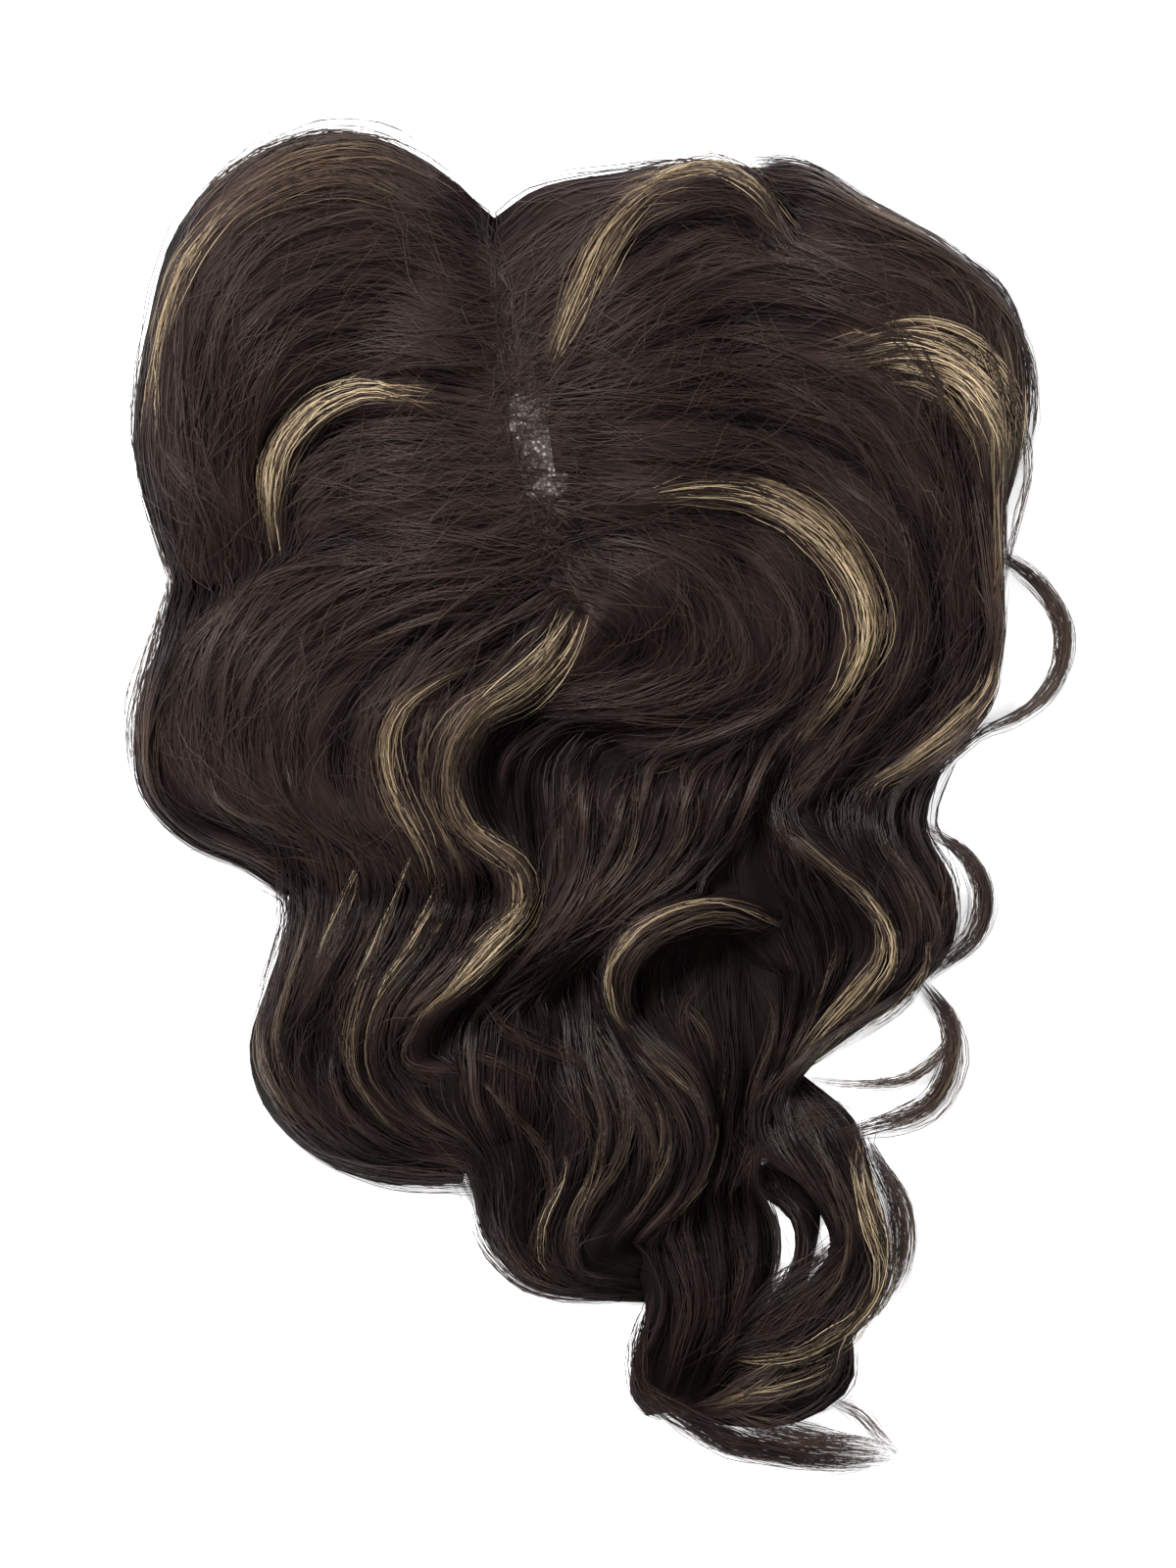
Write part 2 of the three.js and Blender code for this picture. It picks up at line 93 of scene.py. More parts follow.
# Hair locks, the uppermost first. Columns: name, finish slot, height of edges A and B as shares of the crown,
# width of the see-through fringe at edges A and B, whether the lock is rooted in the base, strand density,
# how much its tone differs, mostly painted shade that darkens the locks in hollows and low down, sections.
# A section, from root to tip, is rail A x, y, rail B x, y and the crown height.
LOCKS = (
    ("ringlet", "hair_blond", 0.55, 0.45, 0, 0, False, 1.0, -0.08, (
        (58, -35, 54, -42, 10), (40, -29, 40, -41, 16), (18, -31, 25, -43, 18), (3, -43, 12, -51, 18),
        (-1, -60, 9, -62, 17), (8, -76, 17, -72, 16), (20, -89, 31, -85, 16), (27, -106, 36, -103, 14),
        (21, -121, 30, -122, 11), (9, -132, 15, -137, 7))),
    ("centre_left_lock", "hair_blond", 0.6, 0.5, 0, 0, False, 1.0, 0.0, (
        (-18, 62, -8, 58, 7), (-31, 44, -16, 36, 15), (-47, 29, -33, 24, 19), (-53, 10, -40, 10, 19),
        (-48, -8, -35, -8, 18), (-33, -21, -22, -20, 17), (-32, -35, -19, -32, 17),
        (-50, -53, -35, -55, 16), (-64, -69, -51, -70, 14), (-62, -84, -52, -79, 11),
        (-40, -85, -40, -79, 7))),
    ("left_wave", "hair_brown", 0.6, 0.75, 0, 0, True, 1.0, 0.0, (
        (-14, 83, -13, 66, 6), (-52, 80, -43, 56, 13), (-86, 77, -66, 41, 19), (-110, 65, -77, 29, 23),
        (-127, 45, -83, 18, 25), (-133, 22, -83, 8, 24), (-127, 1, -79, -3, 21), (-110, -11, -72, -11, 18),
        (-95, -18, -62, -18, 15), (-88, -27, -60, -27, 12))),
    ("left_inner", "hair_brown", 0.7, 0.6, 0, 0, True, 1.0, 0.0, (
        (-14, 67, -16, 59, 6), (-44, 57, -31, 44, 12), (-67, 42, -44, 29, 17), (-82, 24, -48, 18, 18),
        (-86, 8, -48, 8, 18), (-81, -6, -45, -4, 17), (-70, -18, -36, -14, 15), (-61, -28, -32, -26, 13))),
    ("lower_left_inner", "hair_brown", 0.7, 0.5, 0, 0, False, 1.0, -0.1, (
        (-64, -24, -30, -25, 10), (-70, -41, -38, -44, 14), (-80, -61, -55, -62, 14),
        (-82, -81, -60, -78, 13), (-74, -96, -56, -87, 11), (-58, -106, -50, -96, 9),
        (-42, -109, -42, -100, 6))),
    ("lower_left_outer", "hair_brown", 0.15, 0.7, 0.8, 0, False, 1.0, -0.1, (
        (-98, -22, -62, -20, 10), (-97, -37, -68, -38, 14), (-103, -56, -77, -57, 15),
        (-109, -76, -82, -74, 15), (-105, -93, -78, -91, 14), (-90, -109, -66, -103, 12),
        (-68, -118, -54, -108, 9), (-43, -118, -41, -110, 6))),
    ("centre_swirl", "hair_brown", 0.6, 0.8, 0, 0, True, 1.0, 0.0, (
        (-14, 83, -12, 68, 6), (14, 84, -8, 62, 12), (40, 74, -5, 57, 17), (55, 54, -5, 52, 19),
        (53, 34, -7, 48, 18), (30, 23, -10, 44, 15), (2, 22, -14, 39, 12), (-24, 25, -20, 33, 8))),
    ("right_blond_lock", "hair_blond", 0.6, 0.6, 0, 0, True, 1.0, 0.0, (
        (-11, 103, -12, 86, 5), (14, 101, 14, 86, 11), (48, 98, 45, 85, 15), (72, 85, 62, 74, 18),
        (85, 64, 70, 58, 19), (84, 43, 69, 43, 18), (72, 27, 61, 29, 15), (58, 9, 50, 13, 9))),
    ("right_inner_lock", "hair_brown", 0.7, 0.6, 0, 0, True, 1.0, 0.0, (
        (-13, 87, -14, 81, 5), (16, 88, 16, 80, 9), (47, 86, 42, 70, 14), (66, 71, 50, 56, 16),
        (71, 50, 52, 42, 16), (62, 29, 44, 34, 13), (40, 15, 24, 28, 10), (8, 5, -6, 23, 6))),
    ("right_wave", "hair_brown", 0.6, 0.7, 0, 0, True, 1.0, -0.02, (
        (-13, 116, -11, 102, 5), (16, 116, 14, 100, 11), (62, 110, 48, 96, 16), (91, 89, 73, 80, 19),
        (102, 60, 84, 57, 19), (97, 34, 78, 36, 17), (80, 14, 65, 20, 13), (62, -5, 52, 0, 8))),
    ("front_right_roll", "hair_blond", 0.15, 0.6, 0.8, 0, True, 1.0, 0.0, (
        (-34, 179, -27, 134, 5), (-20, 188, -4, 155, 11), (4, 192, 10, 169, 16), (30, 195, 28, 176, 18),
        (48, 191, 40, 174, 16), (60, 175, 50, 167, 11), (66, 164, 58, 159, 7))),
    ("right_edge_lock", "hair_blond", 0.3, 0.6, 1, 0, False, 1.0, 0.0, (
        (92, 142, 94, 131, 8), (110, 139, 105, 128, 16), (122, 122, 112, 114, 17), (123, 98, 114, 94, 15),
        (123, 72, 116, 72, 13), (123, 45, 117, 47, 12), (118, 25, 110, 30, 11), (102, 9, 95, 16, 10),
        (82, -2, 78, 5, 7))),
    ("right_crown_lobe", "hair_brown", 0.5, 0.7, 0, 0, True, 1.0, 0.0, (
        (-27, 136, -22, 125, 5), (2, 166, 10, 138, 11), (34, 182, 42, 146, 16), (72, 174, 70, 143, 20),
        (101, 165, 87, 134, 21), (118, 146, 97, 124, 19), (122, 127, 103, 112, 15),
        (122, 112, 105, 104, 12))),
    ("right_mid", "hair_brown", 0.7, 0.6, 0, 0, True, 1.0, -0.03, (
        (-22, 126, -13, 115, 5), (12, 139, 16, 112, 11), (46, 149, 54, 108, 16), (80, 143, 77, 98, 18),
        (103, 124, 88, 85, 17), (114, 98, 95, 71, 15), (118, 72, 99, 55, 13), (119, 47, 96, 36, 11),
        (108, 27, 84, 17, 9), (88, 8, 68, -3, 6))),
    ("front_right_edge", "hair_brown", 0.12, 0.5, 2, 0, False, 1.0, 0.05, (
        (42, 196, 52, 178, 8), (62, 196, 64, 175, 14), (82, 183, 82, 170, 16), (108, 168, 104, 160, 15),
        (124, 155, 116, 146, 13), (131, 130, 121, 126, 9), (129, 104, 121, 104, 7), (124, 88, 119, 90, 5))),
    ("inner_left_arc", "hair_blond", 0.7, 0.6, 0, 0, True, 1.0, 0.0, (
        (-28, 128, -26, 111, 5), (-60, 130, -58, 117, 12), (-85, 126, -80, 114, 17),
        (-101, 112, -92, 104, 19), (-106, 94, -97, 90, 17), (-103, 78, -96, 77, 13),
        (-101, 66, -94, 66, 9))),
    ("front_left_roll", "hair_brown", 0.12, 0.6, 0.8, 0, True, 1.0, 0.0, (
        (-35, 180, -28, 127, 5), (-54, 196, -45, 124, 13), (-80, 205, -64, 126, 21),
        (-108, 197, -85, 121, 27), (-130, 176, -97, 108, 28), (-140, 143, -101, 94, 25),
        (-144, 108, -100, 80, 20), (-138, 83, -99, 70, 15), (-131, 66, -104, 58, 11))),
    ("left_crown", "hair_brown", 0.7, 0.7, 0, 0, True, 1.0, 0.0, (
        (-26, 112, -19, 82, 5), (-58, 119, -48, 76, 10), (-82, 116, -70, 70, 14), (-96, 103, -82, 68, 15),
        (-100, 86, -90, 68, 12), (-99, 70, -92, 62, 8))),
    ("left_outer", "hair_brown", 0.15, 0.6, 1, 0, False, 0.9, 0.0, (
        (-132, 72, -112, 62, 9), (-136, 50, -120, 44, 12), (-143, 25, -128, 20, 11), (-142, 2, -125, 0, 9),
        (-128, -14, -112, -8, 9), (-110, -22, -100, -13, 9), (-97, -31, -90, -19, 8))),
    ("right_lower_blond", "hair_blond", 0.6, 0.5, 0, 0, False, 1.0, -0.1, (
        (64, 12, 46, 8, 5), (66, -7, 54, -13, 12), (82, -24, 71, -28, 15), (93, -43, 80, -44, 16),
        (84, -60, 71, -60, 14), (70, -72, 59, -74, 11), (53, -92, 46, -91, 7))),
    ("right_turn", "hair_brown", 0.2, 0.6, 2, 0, False, 0.9, -0.08, (
        (108, 11, 60, 8, 8), (102, -8, 60, -10, 11), (110, -26, 74, -30, 12), (109, -44, 84, -46, 12),
        (98, -57, 84, -59, 11), (80, -70, 70, -71, 9), (62, -83, 55, -84, 6))),
    ("centre_fall", "hair_brown", 0.5, 0.6, 0, 0, False, 1.0, -0.04, (
        (-16, 14, 60, 22, 9), (-17, 0, 50, 3, 15), (-17, -16, 41, -14, 16), (-20, -31, 24, -29, 15),
        (-34, -51, -6, -51, 12), (-47, -64, -28, -68, 7))),
    ("tail_right", "hair_brown", 0.2, 0.5, 1.2, 0.6, False, 1.0, -0.12, (
        (62, -84, 46, -92, 7), (78, -97, 46, -106, 11), (83, -112, 56, -116, 12), (86, -126, 66, -127, 12),
        (88, -140, 69, -138, 12), (84, -156, 58, -152, 11), (66, -169, 48, -163, 9),
        (40, -177, 34, -168, 6))),
    ("tail_inner", "hair_brown", 0.5, 0.5, 0, 0.4, False, 1.0, -0.12, (
        (56, -113, 43, -119, 6), (63, -127, 57, -129, 8), (62, -141, 58, -141, 8), (55, -157, 49, -156, 7),
        (44, -168, 39, -165, 5))),
    ("lower_mid", "hair_brown", 0.6, 0.5, 0, 0, False, 0.7, -0.2, (
        (12, -38, 58, -36, 5), (10, -62, 60, -62, 8), (22, -84, 57, -80, 10), (28, -104, 49, -100, 9),
        (26, -122, 45, -120, 8))),
    ("hollow_bed", "hair_brown", 0.6, 0.6, 0, 0, False, 0.6, -0.22, (
        (40, 12, 74, 10, 5), (20, -20, 80, -24, 7), (30, -36, 88, -45, 7), (50, -54, 78, -60, 7),
        (54, -68, 64, -74, 5))),
    ("lower_centre", "hair_brown", 0.6, 0.6, 0, 0, False, 1.0, -0.14, (
        (-16, -56, 4, -46, 5), (-18, -80, 18, -78, 9), (-14, -102, 30, -100, 12), (-18, -122, 28, -118, 12),
        (-22, -136, 18, -130, 10), (-13, -149, 8, -137, 8), (14, -151, 15, -140, 5))),
    ("lower_left_lobe", "hair_brown", 0.15, 0.6, 1, 0, False, 1.0, -0.1, (
        (-48, -104, -14, -90, 6), (-42, -119, -12, -112, 10), (-37, -135, -16, -130, 10),
        (-24, -149, -13, -142, 8), (-4, -153.5, -4, -148, 6), (15, -154.5, 15, -150, 4))),
    ("lower_left_bed", "hair_brown", 0.6, 0.6, 0, 0, False, 0.7, -0.18, (
        (-50, -60, -20, -54, 5), (-64, -80, -8, -66, 8), (-64, -95, -10, -86, 8),
        (-44, -114, -15, -106, 6))),
    ("centre_hollow", "hair_brown", 0.6, 0.6, 0, 0, False, 0.7, -0.18, (
        (-24, 34, 10, 26, 5), (-46, 14, -6, 10, 6), (-42, -8, -8, -10, 7), (-24, -28, -12, -30, 6))),
    ("tail_mid", "hair_brown", 0.2, 0.4, 1.2, 0.6, False, 1.0, -0.2, (
        (4, -126, 49, -115, 7), (8, -142, 54, -138, 9), (12, -157, 50, -155, 10), (8, -173, 42, -172, 9),
        (7.5, -182, 36, -182, 7), (13, -189, 25, -187, 5))),
    ("tail_tip", "hair_blond", 0.2, 0.6, 2, 0, False, 0.9, -0.05, (
        (78, -163, 60, -164, 7), (79, -180, 48, -172, 9), (62, -192, 38, -178, 8), (40, -193, 32, -182, 6),
        (26, -189, 25, -184, 4))),
    ("bottom_wisp", "hair_brown", 0.4, 0.4, 20, 0, False, 1.8, 0.0, (
        (27, -190, 33, -188, 4), (36, -198, 42, -192, 4.5), (58, -203, 61, -192, 4),
        (78, -205.5, 79, -192, 3), (92, -202, 91, -198, 2.5))),
)

# Loose wisps. Columns: name, strand density, sections of centre x, y, width and height
WISPS = (
    ("wisp_upper_right", 2.2, (
        (121, 75, 3, 3), (133, 66.5, 4, 3), (141, 52, 4, 3), (138, 35, 4, 3), (126, 24.5, 4, 3),
        (114, 20, 3, 3))),
    ("wisp_mid_right", 2.2, (
        (101, -11, 3, 3), (113, -19, 4, 3), (118, -32, 4, 3), (113, -45, 4, 3), (103, -51, 3, 3))),
    ("wisp_low_right", 2.2, (
        (97, -56, 3, 3), (107, -69, 4, 3), (104, -87, 4, 3), (93, -98, 4, 3), (80, -101, 3, 3))),
    ("wisp_tail_right", 1.8, ((82, -111, 4, 3), (91, -124, 6, 4), (92, -140, 6, 4), (85, -157, 4, 3))),
)
WISP_EDGE, WISP_FRINGE, WISP_TONE = 0.5, 9, 0.1

# Light, warm and dark tresses by lock: a tone from dark brown at 0 to pale blond at 1, a half width, and
# points along it. A later tress lies over an earlier one, so a lock may come up again.
TRESSES = (
    ("front_left_roll",
     (0.75, 2.5, (-106, 185), (-117, 176), (-125, 166), (-131, 155), (-135, 142), (-137, 130),
      (-138.5, 116)),
     (0.5, 1, (-128, 152), (-134, 142), (-137, 131), (-136, 121)),
     (0.53, 6, (-50, 190), (-68, 199), (-88, 198), (-105, 190), (-116, 182)),
     (0.46, 4, (-56, 180), (-74, 189), (-92, 188), (-108, 180), (-120, 168)),
     (0.45, 1, (-130, 171), (-123, 183), (-112, 194), (-98, 202), (-84, 206)),
     (0.55, 0.8, (-72, 139), (-62, 131), (-50, 122)),
     (0.45, 0.8, (-90, 138), (-80, 133), (-70, 129)),
     (0.33, 3, (-135, 108), (-126, 98), (-116, 90), (-110, 83))),
    ("left_outer",
     (0.5, 1.5, (-127, 88), (-130, 76), (-132, 63)),
     (0.42, 2, (-133, 66), (-137, 52), (-141, 38), (-144, 24), (-144, 10), (-140, -2))),
    ("inner_left_arc",
     (0.86, 3.8, (-56, 122), (-72, 125), (-86, 120), (-95, 111), (-99.5, 101), (-100.5, 90), (-100, 78)),
     (0.72, 1.6, (-84, 115), (-93, 109), (-97, 101), (-99, 90), (-101, 80))),
    ("front_right_roll",
     (0.74, 5, (-17, 129), (-12, 140), (-7, 151), (-2, 162), (4, 173), (12, 182), (22, 188)),
     (0.8, 3, (8, 184), (20, 191), (32, 194), (42, 191), (50, 184), (54, 177)),
     (0.6, 1.5, (5, 171), (15, 177), (28, 181))),
    ("right_edge_lock",
     (0.52, 4, (66, 134), (76, 135), (86, 137), (96, 138), (106, 136)),
     (1.18, 5, (76, 138), (90, 140), (101, 138.5), (111, 134), (119, 127), (125, 118), (127, 107)),
     (1.18, 4.6, (80, 134), (93, 135), (104, 133), (113, 127), (120, 118), (124, 108), (123, 98)),
     (0.95, 2.5, (88, 131), (99, 131), (108, 127), (115, 119), (119, 109), (120, 98)),
     (0.66, 2, (86, 126), (96, 125), (105, 120), (112, 111), (116, 100)),
     (0.7, 0.8, (110, 128), (104, 122), (99, 116)),
     (0.66, 0.7, (115, 124), (109, 117), (104, 108)),
     (0.58, 2, (122, 104), (121, 90), (121, 74), (120, 58), (120, 44)),
     (0.76, 3, (120, 44), (118, 34), (111, 25), (102, 17), (92, 10), (80, 3))),
    ("front_right_edge",
     (0.44, 0.8, (82, 170), (100, 167), (117, 156), (128, 140), (132, 123), (130, 106)),
     (0.4, 0.8, (94, 160), (111, 158), (124, 147), (131, 131), (132, 114), (127, 98))),
    ("right_edge_lock",
     (0.46, 0.8, (122, 124), (129, 112), (130, 99), (127, 86), (124, 73), (122, 60))),
    ("right_crown_lobe",
     (0.46, 0.7, (74, 168), (90, 168), (104, 162), (112, 151), (113, 140), (109, 130))),
    ("right_mid",
     (0.6, 1.2, (111, 70), (116, 60), (119, 50), (119, 40)),
     (0.6, 2.5, (96, 97), (103, 91), (110, 84))),
    ("right_crown_lobe",
     (0.5, 1, (80, 162), (92, 160), (102, 154), (108, 146), (109, 138)),
     (0.5, 1, (92, 160), (106, 158), (114, 152), (118, 144), (118, 136)),
     (0.45, 4, (72, 136), (82, 136), (92, 137))),
    ("right_blond_lock",
     (0.8, 3.5, (12, 92), (28, 93), (42, 92), (54, 88), (65, 81), (74, 71), (79, 60), (80, 49), (77, 39),
      (71, 29), (62, 18)),
     (0.65, 2.5, (28, 98), (44, 97), (58, 92), (70, 83), (78, 72), (83, 60), (84, 50), (80, 40), (73, 31))),
    ("right_wave",
     (0.5, 1.2, (84, 70), (88, 60), (87, 51), (83, 44), (77, 37))),
    ("centre_swirl",
     (0.1, 3, (-24, 74), (-17, 68), (-12, 61), (-6, 55), (2, 50)),
     (0.08, 4, (-22, 92), (-15, 86), (-9, 80), (-3, 72), (2, 63)),
     (0.12, 4, (-16, 66), (-8, 64), (0, 62), (8, 58), (12, 52)),
     (0.1, 4, (-14, 60), (-7, 58), (0, 54), (5, 48), (4, 42)),
     (0.17, 4, (-10, 70), (0, 69), (10, 65), (17, 58), (18, 50))),
    ("centre_left_lock",
     (0.96, 5.6, (-6, 60), (-11, 50), (-17, 42), (-26, 34), (-36, 27), (-43, 18)),
     (0.54, 5, (-24, 35), (-34, 28), (-42, 20), (-46.5, 9), (-46.5, -1), (-42, -9), (-35, -15)),
     (0.72, 2.2, (-46, 2), (-42, -8), (-34, -14), (-26, -20), (-22, -28), (-25, -36)),
     (0.88, 4.5, (-20, -24), (-24, -34), (-34, -44), (-43, -54), (-52, -64)),
     (0.5, 1.6, (-54, -62), (-58, -70), (-62, -77), (-60, -82), (-53, -84), (-44, -83))),
    ("left_inner",
     (0.66, 3, (-38, 42), (-50, 37), (-61, 29), (-66, 18), (-65, 6), (-60, -5), (-55, -14), (-52, -23),
      (-52, -30)),
     (0.55, 1.2, (-50, 32), (-54, 22), (-55, 12), (-53, 2), (-48, -10), (-43, -21), (-42, -28))),
    ("left_wave",
     (0.24, 3, (-106, -2), (-98, -14), (-95, -28), (-97, -43), (-102, -58), (-104, -70)),
     (0.22, 4, (-93, -1), (-85, -14), (-81, -28), (-83, -42), (-89, -57), (-92, -70)),
     (0.24, 4, (-81, 3), (-74, -12), (-70, -26), (-73, -41), (-81, -57), (-84, -70))),
    ("left_inner",
     (0.24, 4, (-67, 0), (-59, -14), (-54, -28), (-57, -42), (-66, -57), (-72, -70)),
     (0.22, 3, (-55, 3), (-46, -12), (-41, -26), (-43, -40), (-52, -55), (-60, -68))),
    ("left_wave",
     (0.45, 1, (-35, 57), (-50, 55), (-65, 50), (-80, 42)),
     (0.5, 1.2, (-108, 64), (-118, 56), (-128, 46), (-136, 34)),
     (0.45, 0.8, (-120, 8), (-117, 0), (-108, -6), (-98, -9))),
    ("right_inner_lock",
     (0.6, 1, (32, 16), (20, 11), (9, 8))),
    ("lower_left_outer",
     (1.15, 1.6, (-72, -15), (-75, -23), (-78, -31), (-82, -39), (-86, -48), (-89, -57)),
     (0.62, 1.2, (-98, -52), (-103, -62), (-105, -73), (-103, -84), (-96, -95), (-88, -100)),
     (0.45, 1.2, (-88, -30), (-92, -45), (-97, -60), (-99, -75), (-94, -90), (-82, -103)),
     (0.22, 2.5, (-90, -107), (-75, -113), (-58, -116), (-42, -117), (-32, -118))),
    ("lower_left_inner",
     (1.0, 1.0, (-57, -14), (-61, -24), (-65, -34), (-70, -45), (-75, -56), (-78, -67)),
     (1.0, 1.0, (-47, -20), (-51, -30), (-57, -41), (-63, -51), (-69, -61), (-73, -72)),
     (0.66, 1.2, (-44, -26), (-49, -36), (-55, -46), (-62, -57)),
     (0.64, 1.1, (-61, -29), (-66, -40), (-71, -51), (-75, -62), (-77, -72), (-77, -82), (-73, -91),
      (-66, -99), (-58, -104)),
     (0.56, 0.9, (-52, -38), (-57, -46), (-63, -54), (-68, -63), (-71, -73), (-70, -84), (-64, -94),
      (-56, -101))),
    ("lower_left_bed",
     (0.45, 1.2, (-46, -77), (-36, -80), (-26, -84), (-16, -88)),
     (0.4, 1.5, (-24, -69), (-12, -76), (-4, -82), (2, -90))),
    ("lower_left_lobe",
     (0.82, 1.2, (-12, -108), (-11, -114), (-14, -121), (-18, -128), (-19, -136), (-18, -143), (-12, -147)),
     (0.4, 1.5, (-18, -101), (-16, -110), (-17, -120))),
    ("lower_left_outer",
     (0.42, 1.6, (-82, -66), (-80, -76), (-75, -87), (-62, -100))),
    ("lower_left_bed",
     (0.45, 1.2, (-66, -73), (-63, -80), (-56, -86), (-46, -88)),
     (0.32, 1.8, (-40, -57), (-30, -70), (-12, -79), (6, -84))),
    ("lower_left_lobe",
     (0.18, 3, (-56, -100), (-49, -107), (-43, -114), (-39, -122), (-36, -131)),
     (0.46, 1.4, (-37, -86), (-27, -97), (-18, -109), (-16, -121), (-21, -134), (-22, -144))),
    ("lower_centre",
     (0.55, 1.1, (-6, -85), (-1, -98), (-2, -113), (-8, -126), (-11, -139)),
     (0.45, 1.4, (5, -85), (13, -98), (16, -111), (12, -124), (3, -134)),
     (0.42, 1.8, (-5, -60), (-2, -72), (5, -84), (8, -98), (4, -112), (-4, -124), (-8, -136)),
     (0.52, 1.2, (10, -82), (18, -96), (18, -110), (12, -122), (4, -132))),
    ("centre_fall",
     (0.46, 1.4, (10, 5), (10, -8), (6, -20), (-2, -30), (-12, -40)),
     (0.48, 1.4, (25, 10), (26, -4), (22, -16), (14, -26)),
     (0.45, 1.5, (-12, -5), (-13, -15), (-13, -27)),
     (0.45, 2, (-5, -32), (-12, -39), (-20, -44)),
     # painted sheen on the wave crests of the curls
     (0.42, 1.8, (38, -2), (35, -12), (30, -20))),
    ("ringlet",
     (0.74, 1.6, (54, -39), (47, -35), (36, -32), (25, -33), (15, -37), (7, -43), (2, -51), (2, -60),
      (5, -68), (11, -75)),
     (0.52, 1.6, (50, -40), (38, -36), (24, -38), (14, -44), (8, -52), (7, -62), (10, -70)),
     (0.56, 1.2, (8, -68), (14, -77), (22, -85), (30, -92), (34, -101), (33, -110), (30, -118), (24, -125),
      (13, -136))),
    ("right_lower_blond",
     (0.56, 1.9, (50, -5), (60, -13), (70, -21), (79, -29), (86, -39), (88, -50)),
     (0.86, 1.7, (74, -22), (82, -31), (88, -41), (88, -51), (82, -60), (74, -68), (66, -77), (58, -86)),
     (0.78, 1.4, (78, -30), (84, -39), (84, -49), (78, -58), (70, -67), (62, -77), (55, -86)),
     # painted sheen on the curls
     (0.5, 1.0, (72, -45), (68, -56), (63, -67), (58, -77), (54, -87))),
    ("right_turn",
     (0.42, 1.4, (80, 0), (85, -12), (93, -24), (97, -36), (95, -48)),
     (0.76, 1.4, (99, -40), (99, -50), (95, -59), (88, -66), (78, -72), (68, -79))),
    ("lower_mid",
     (0.15, 3, (48, -98), (50, -106), (51, -113), (50, -120)),
     (0.32, 1.5, (31, -55), (25, -63), (25, -72), (30, -81)),
     (0.4, 1.5, (53, -62), (51, -75), (46, -90), (44, -102)),
     (0.4, 1.2, (48, -56), (52, -64), (52, -74), (50, -84)),
     (0.55, 1.2, (39, -77), (37, -86), (36, -94), (35, -103)),
     (0.5, 1.2, (22, -60), (28, -66), (33, -75), (34, -85))),
    ("tail_right",
     (0.46, 1.2, (60, -100), (68, -110), (73, -122), (76, -135), (72, -148), (62, -158)),
     (0.22, 3, (64, -143), (60, -150), (54, -158), (46, -166)),
     (0.2, 2.5, (58, -108), (62, -115), (66, -123))),
    ("tail_inner",
     (0.2, 3, (57, -142), (54, -149), (49, -157), (44, -165))),
    ("tail_right",
     (0.17, 3.5, (78, -124), (74, -134), (67, -142), (59, -147), (51, -152), (43, -159), (36, -167)),
     (0.19, 3.5, (76, -130), (72, -139), (64, -147), (55, -153), (46, -160), (38, -168))),
    ("tail_inner",
     (0.2, 2.5, (46, -112), (52, -117), (57, -124))),
    ("tail_mid",
     (0.15, 4, (36, -96), (42, -104), (47, -111), (51, -117), (54, -123), (56, -128)),
     (0.18, 4, (60, -139), (57, -146), (53, -153), (48, -160), (43, -167), (38, -174))),
    ("tail_right",
     (0.3, 2.5, (66, -96), (56, -103), (46, -109), (40, -119)),
     (0.35, 3, (50, -99), (58, -95), (66, -94), (76, -93)),
     (0.36, 2, (52, -105), (62, -99), (74, -97)),
     (0.82, 2.5, (79, -103), (78, -113), (80, -123), (83, -132), (86, -141), (85, -150), (80, -158),
      (73, -163)),
     (0.75, 1.5, (75, -119), (78, -128)),
     (0.88, 2.6, (84, -146), (78, -160), (70, -166), (60, -171), (48, -172), (40, -171))),
    ("tail_tip",
     (0.74, 3, (77, -170), (66, -176), (54, -180), (42, -182), (35, -184))),
    ("tail_mid",
     (0.26, 3, (20, -128), (26, -140), (28, -152), (25, -165), (21, -178)),
     (0.24, 2.5, (40, -130), (44, -142), (42, -154), (38, -166)),
     (0.7, 1, (33, -150), (34, -158), (33, -168)),
     (0.2, 1.5, (16, -150), (13, -159), (10.5, -168), (10, -177), (12, -184.5), (17, -187.5), (23, -187),
      (30, -184)),
     (0.16, 2, (15, -150), (12, -161), (11, -172), (13, -181), (19, -185), (27, -183)),
     (0.5, 0.8, (58, -142), (54, -152), (48, -162), (42, -168))),
    ("bottom_wisp",
     (0.18, 2.5, (8, -176), (18, -185), (28, -191), (40, -196), (54, -199), (68, -202)),
     (0.34, 2, (18, -184), (27, -191), (37, -197), (50, -200), (66, -203), (82, -204)),
     (0.3, 2, (22, -184), (32, -192), (44, -197), (58, -200), (74, -202), (88, -202)),
     (0.42, 3, (36, -186), (48, -192), (60, -195), (74, -198), (90, -201)),
     (0.45, 2, (70, -184), (78, -188), (84, -194), (90, -200))),
    ("wisp_upper_right",
     (0.4, 2, (118, 76), (131, 68), (140, 55), (140, 40), (130, 27), (114, 20))),
    ("wisp_mid_right",
     (0.42, 2.5, (98, -8), (110, -16), (116, -29), (113, -42), (104, -50), (97, -57))),
    ("wisp_low_right",
     (0.4, 2.5, (97, -56), (105, -67), (107, -80), (101, -93), (91, -98), (80, -101), (70, -103)),
     (0.42, 1.5, (107, -66), (106, -74), (100, -81), (92, -86), (82, -87), (72, -87), (64, -86))),
    ("wisp_tail_right",
     (0.45, 2.5, (82, -106), (88, -117), (92, -130), (91, -144), (84, -158))),
)


class StrandKind(NamedTuple):
    """How one kind of strand is laid, in tufts of one strand or more, in millimetres and degrees."""

    share: float  # of the lock's strands
    members: int  # strands in a tuft
    spread: float  # width of a tuft
    draw_in: float  # how far a tuft closes to its tip
    lift: float  # how far a tuft stands up
    widths: tuple
    depths: tuple  # under the hair's top
    sway: float  # size of the waves to the side
    lengths: tuple
    # lighter: painted shade on the kinds that lie deep and painted light on the raised and fine ones on top
    lighter: float  # tone over the lock's
    turn: float  # largest angle to the flow
    past: float  # farthest past the outline


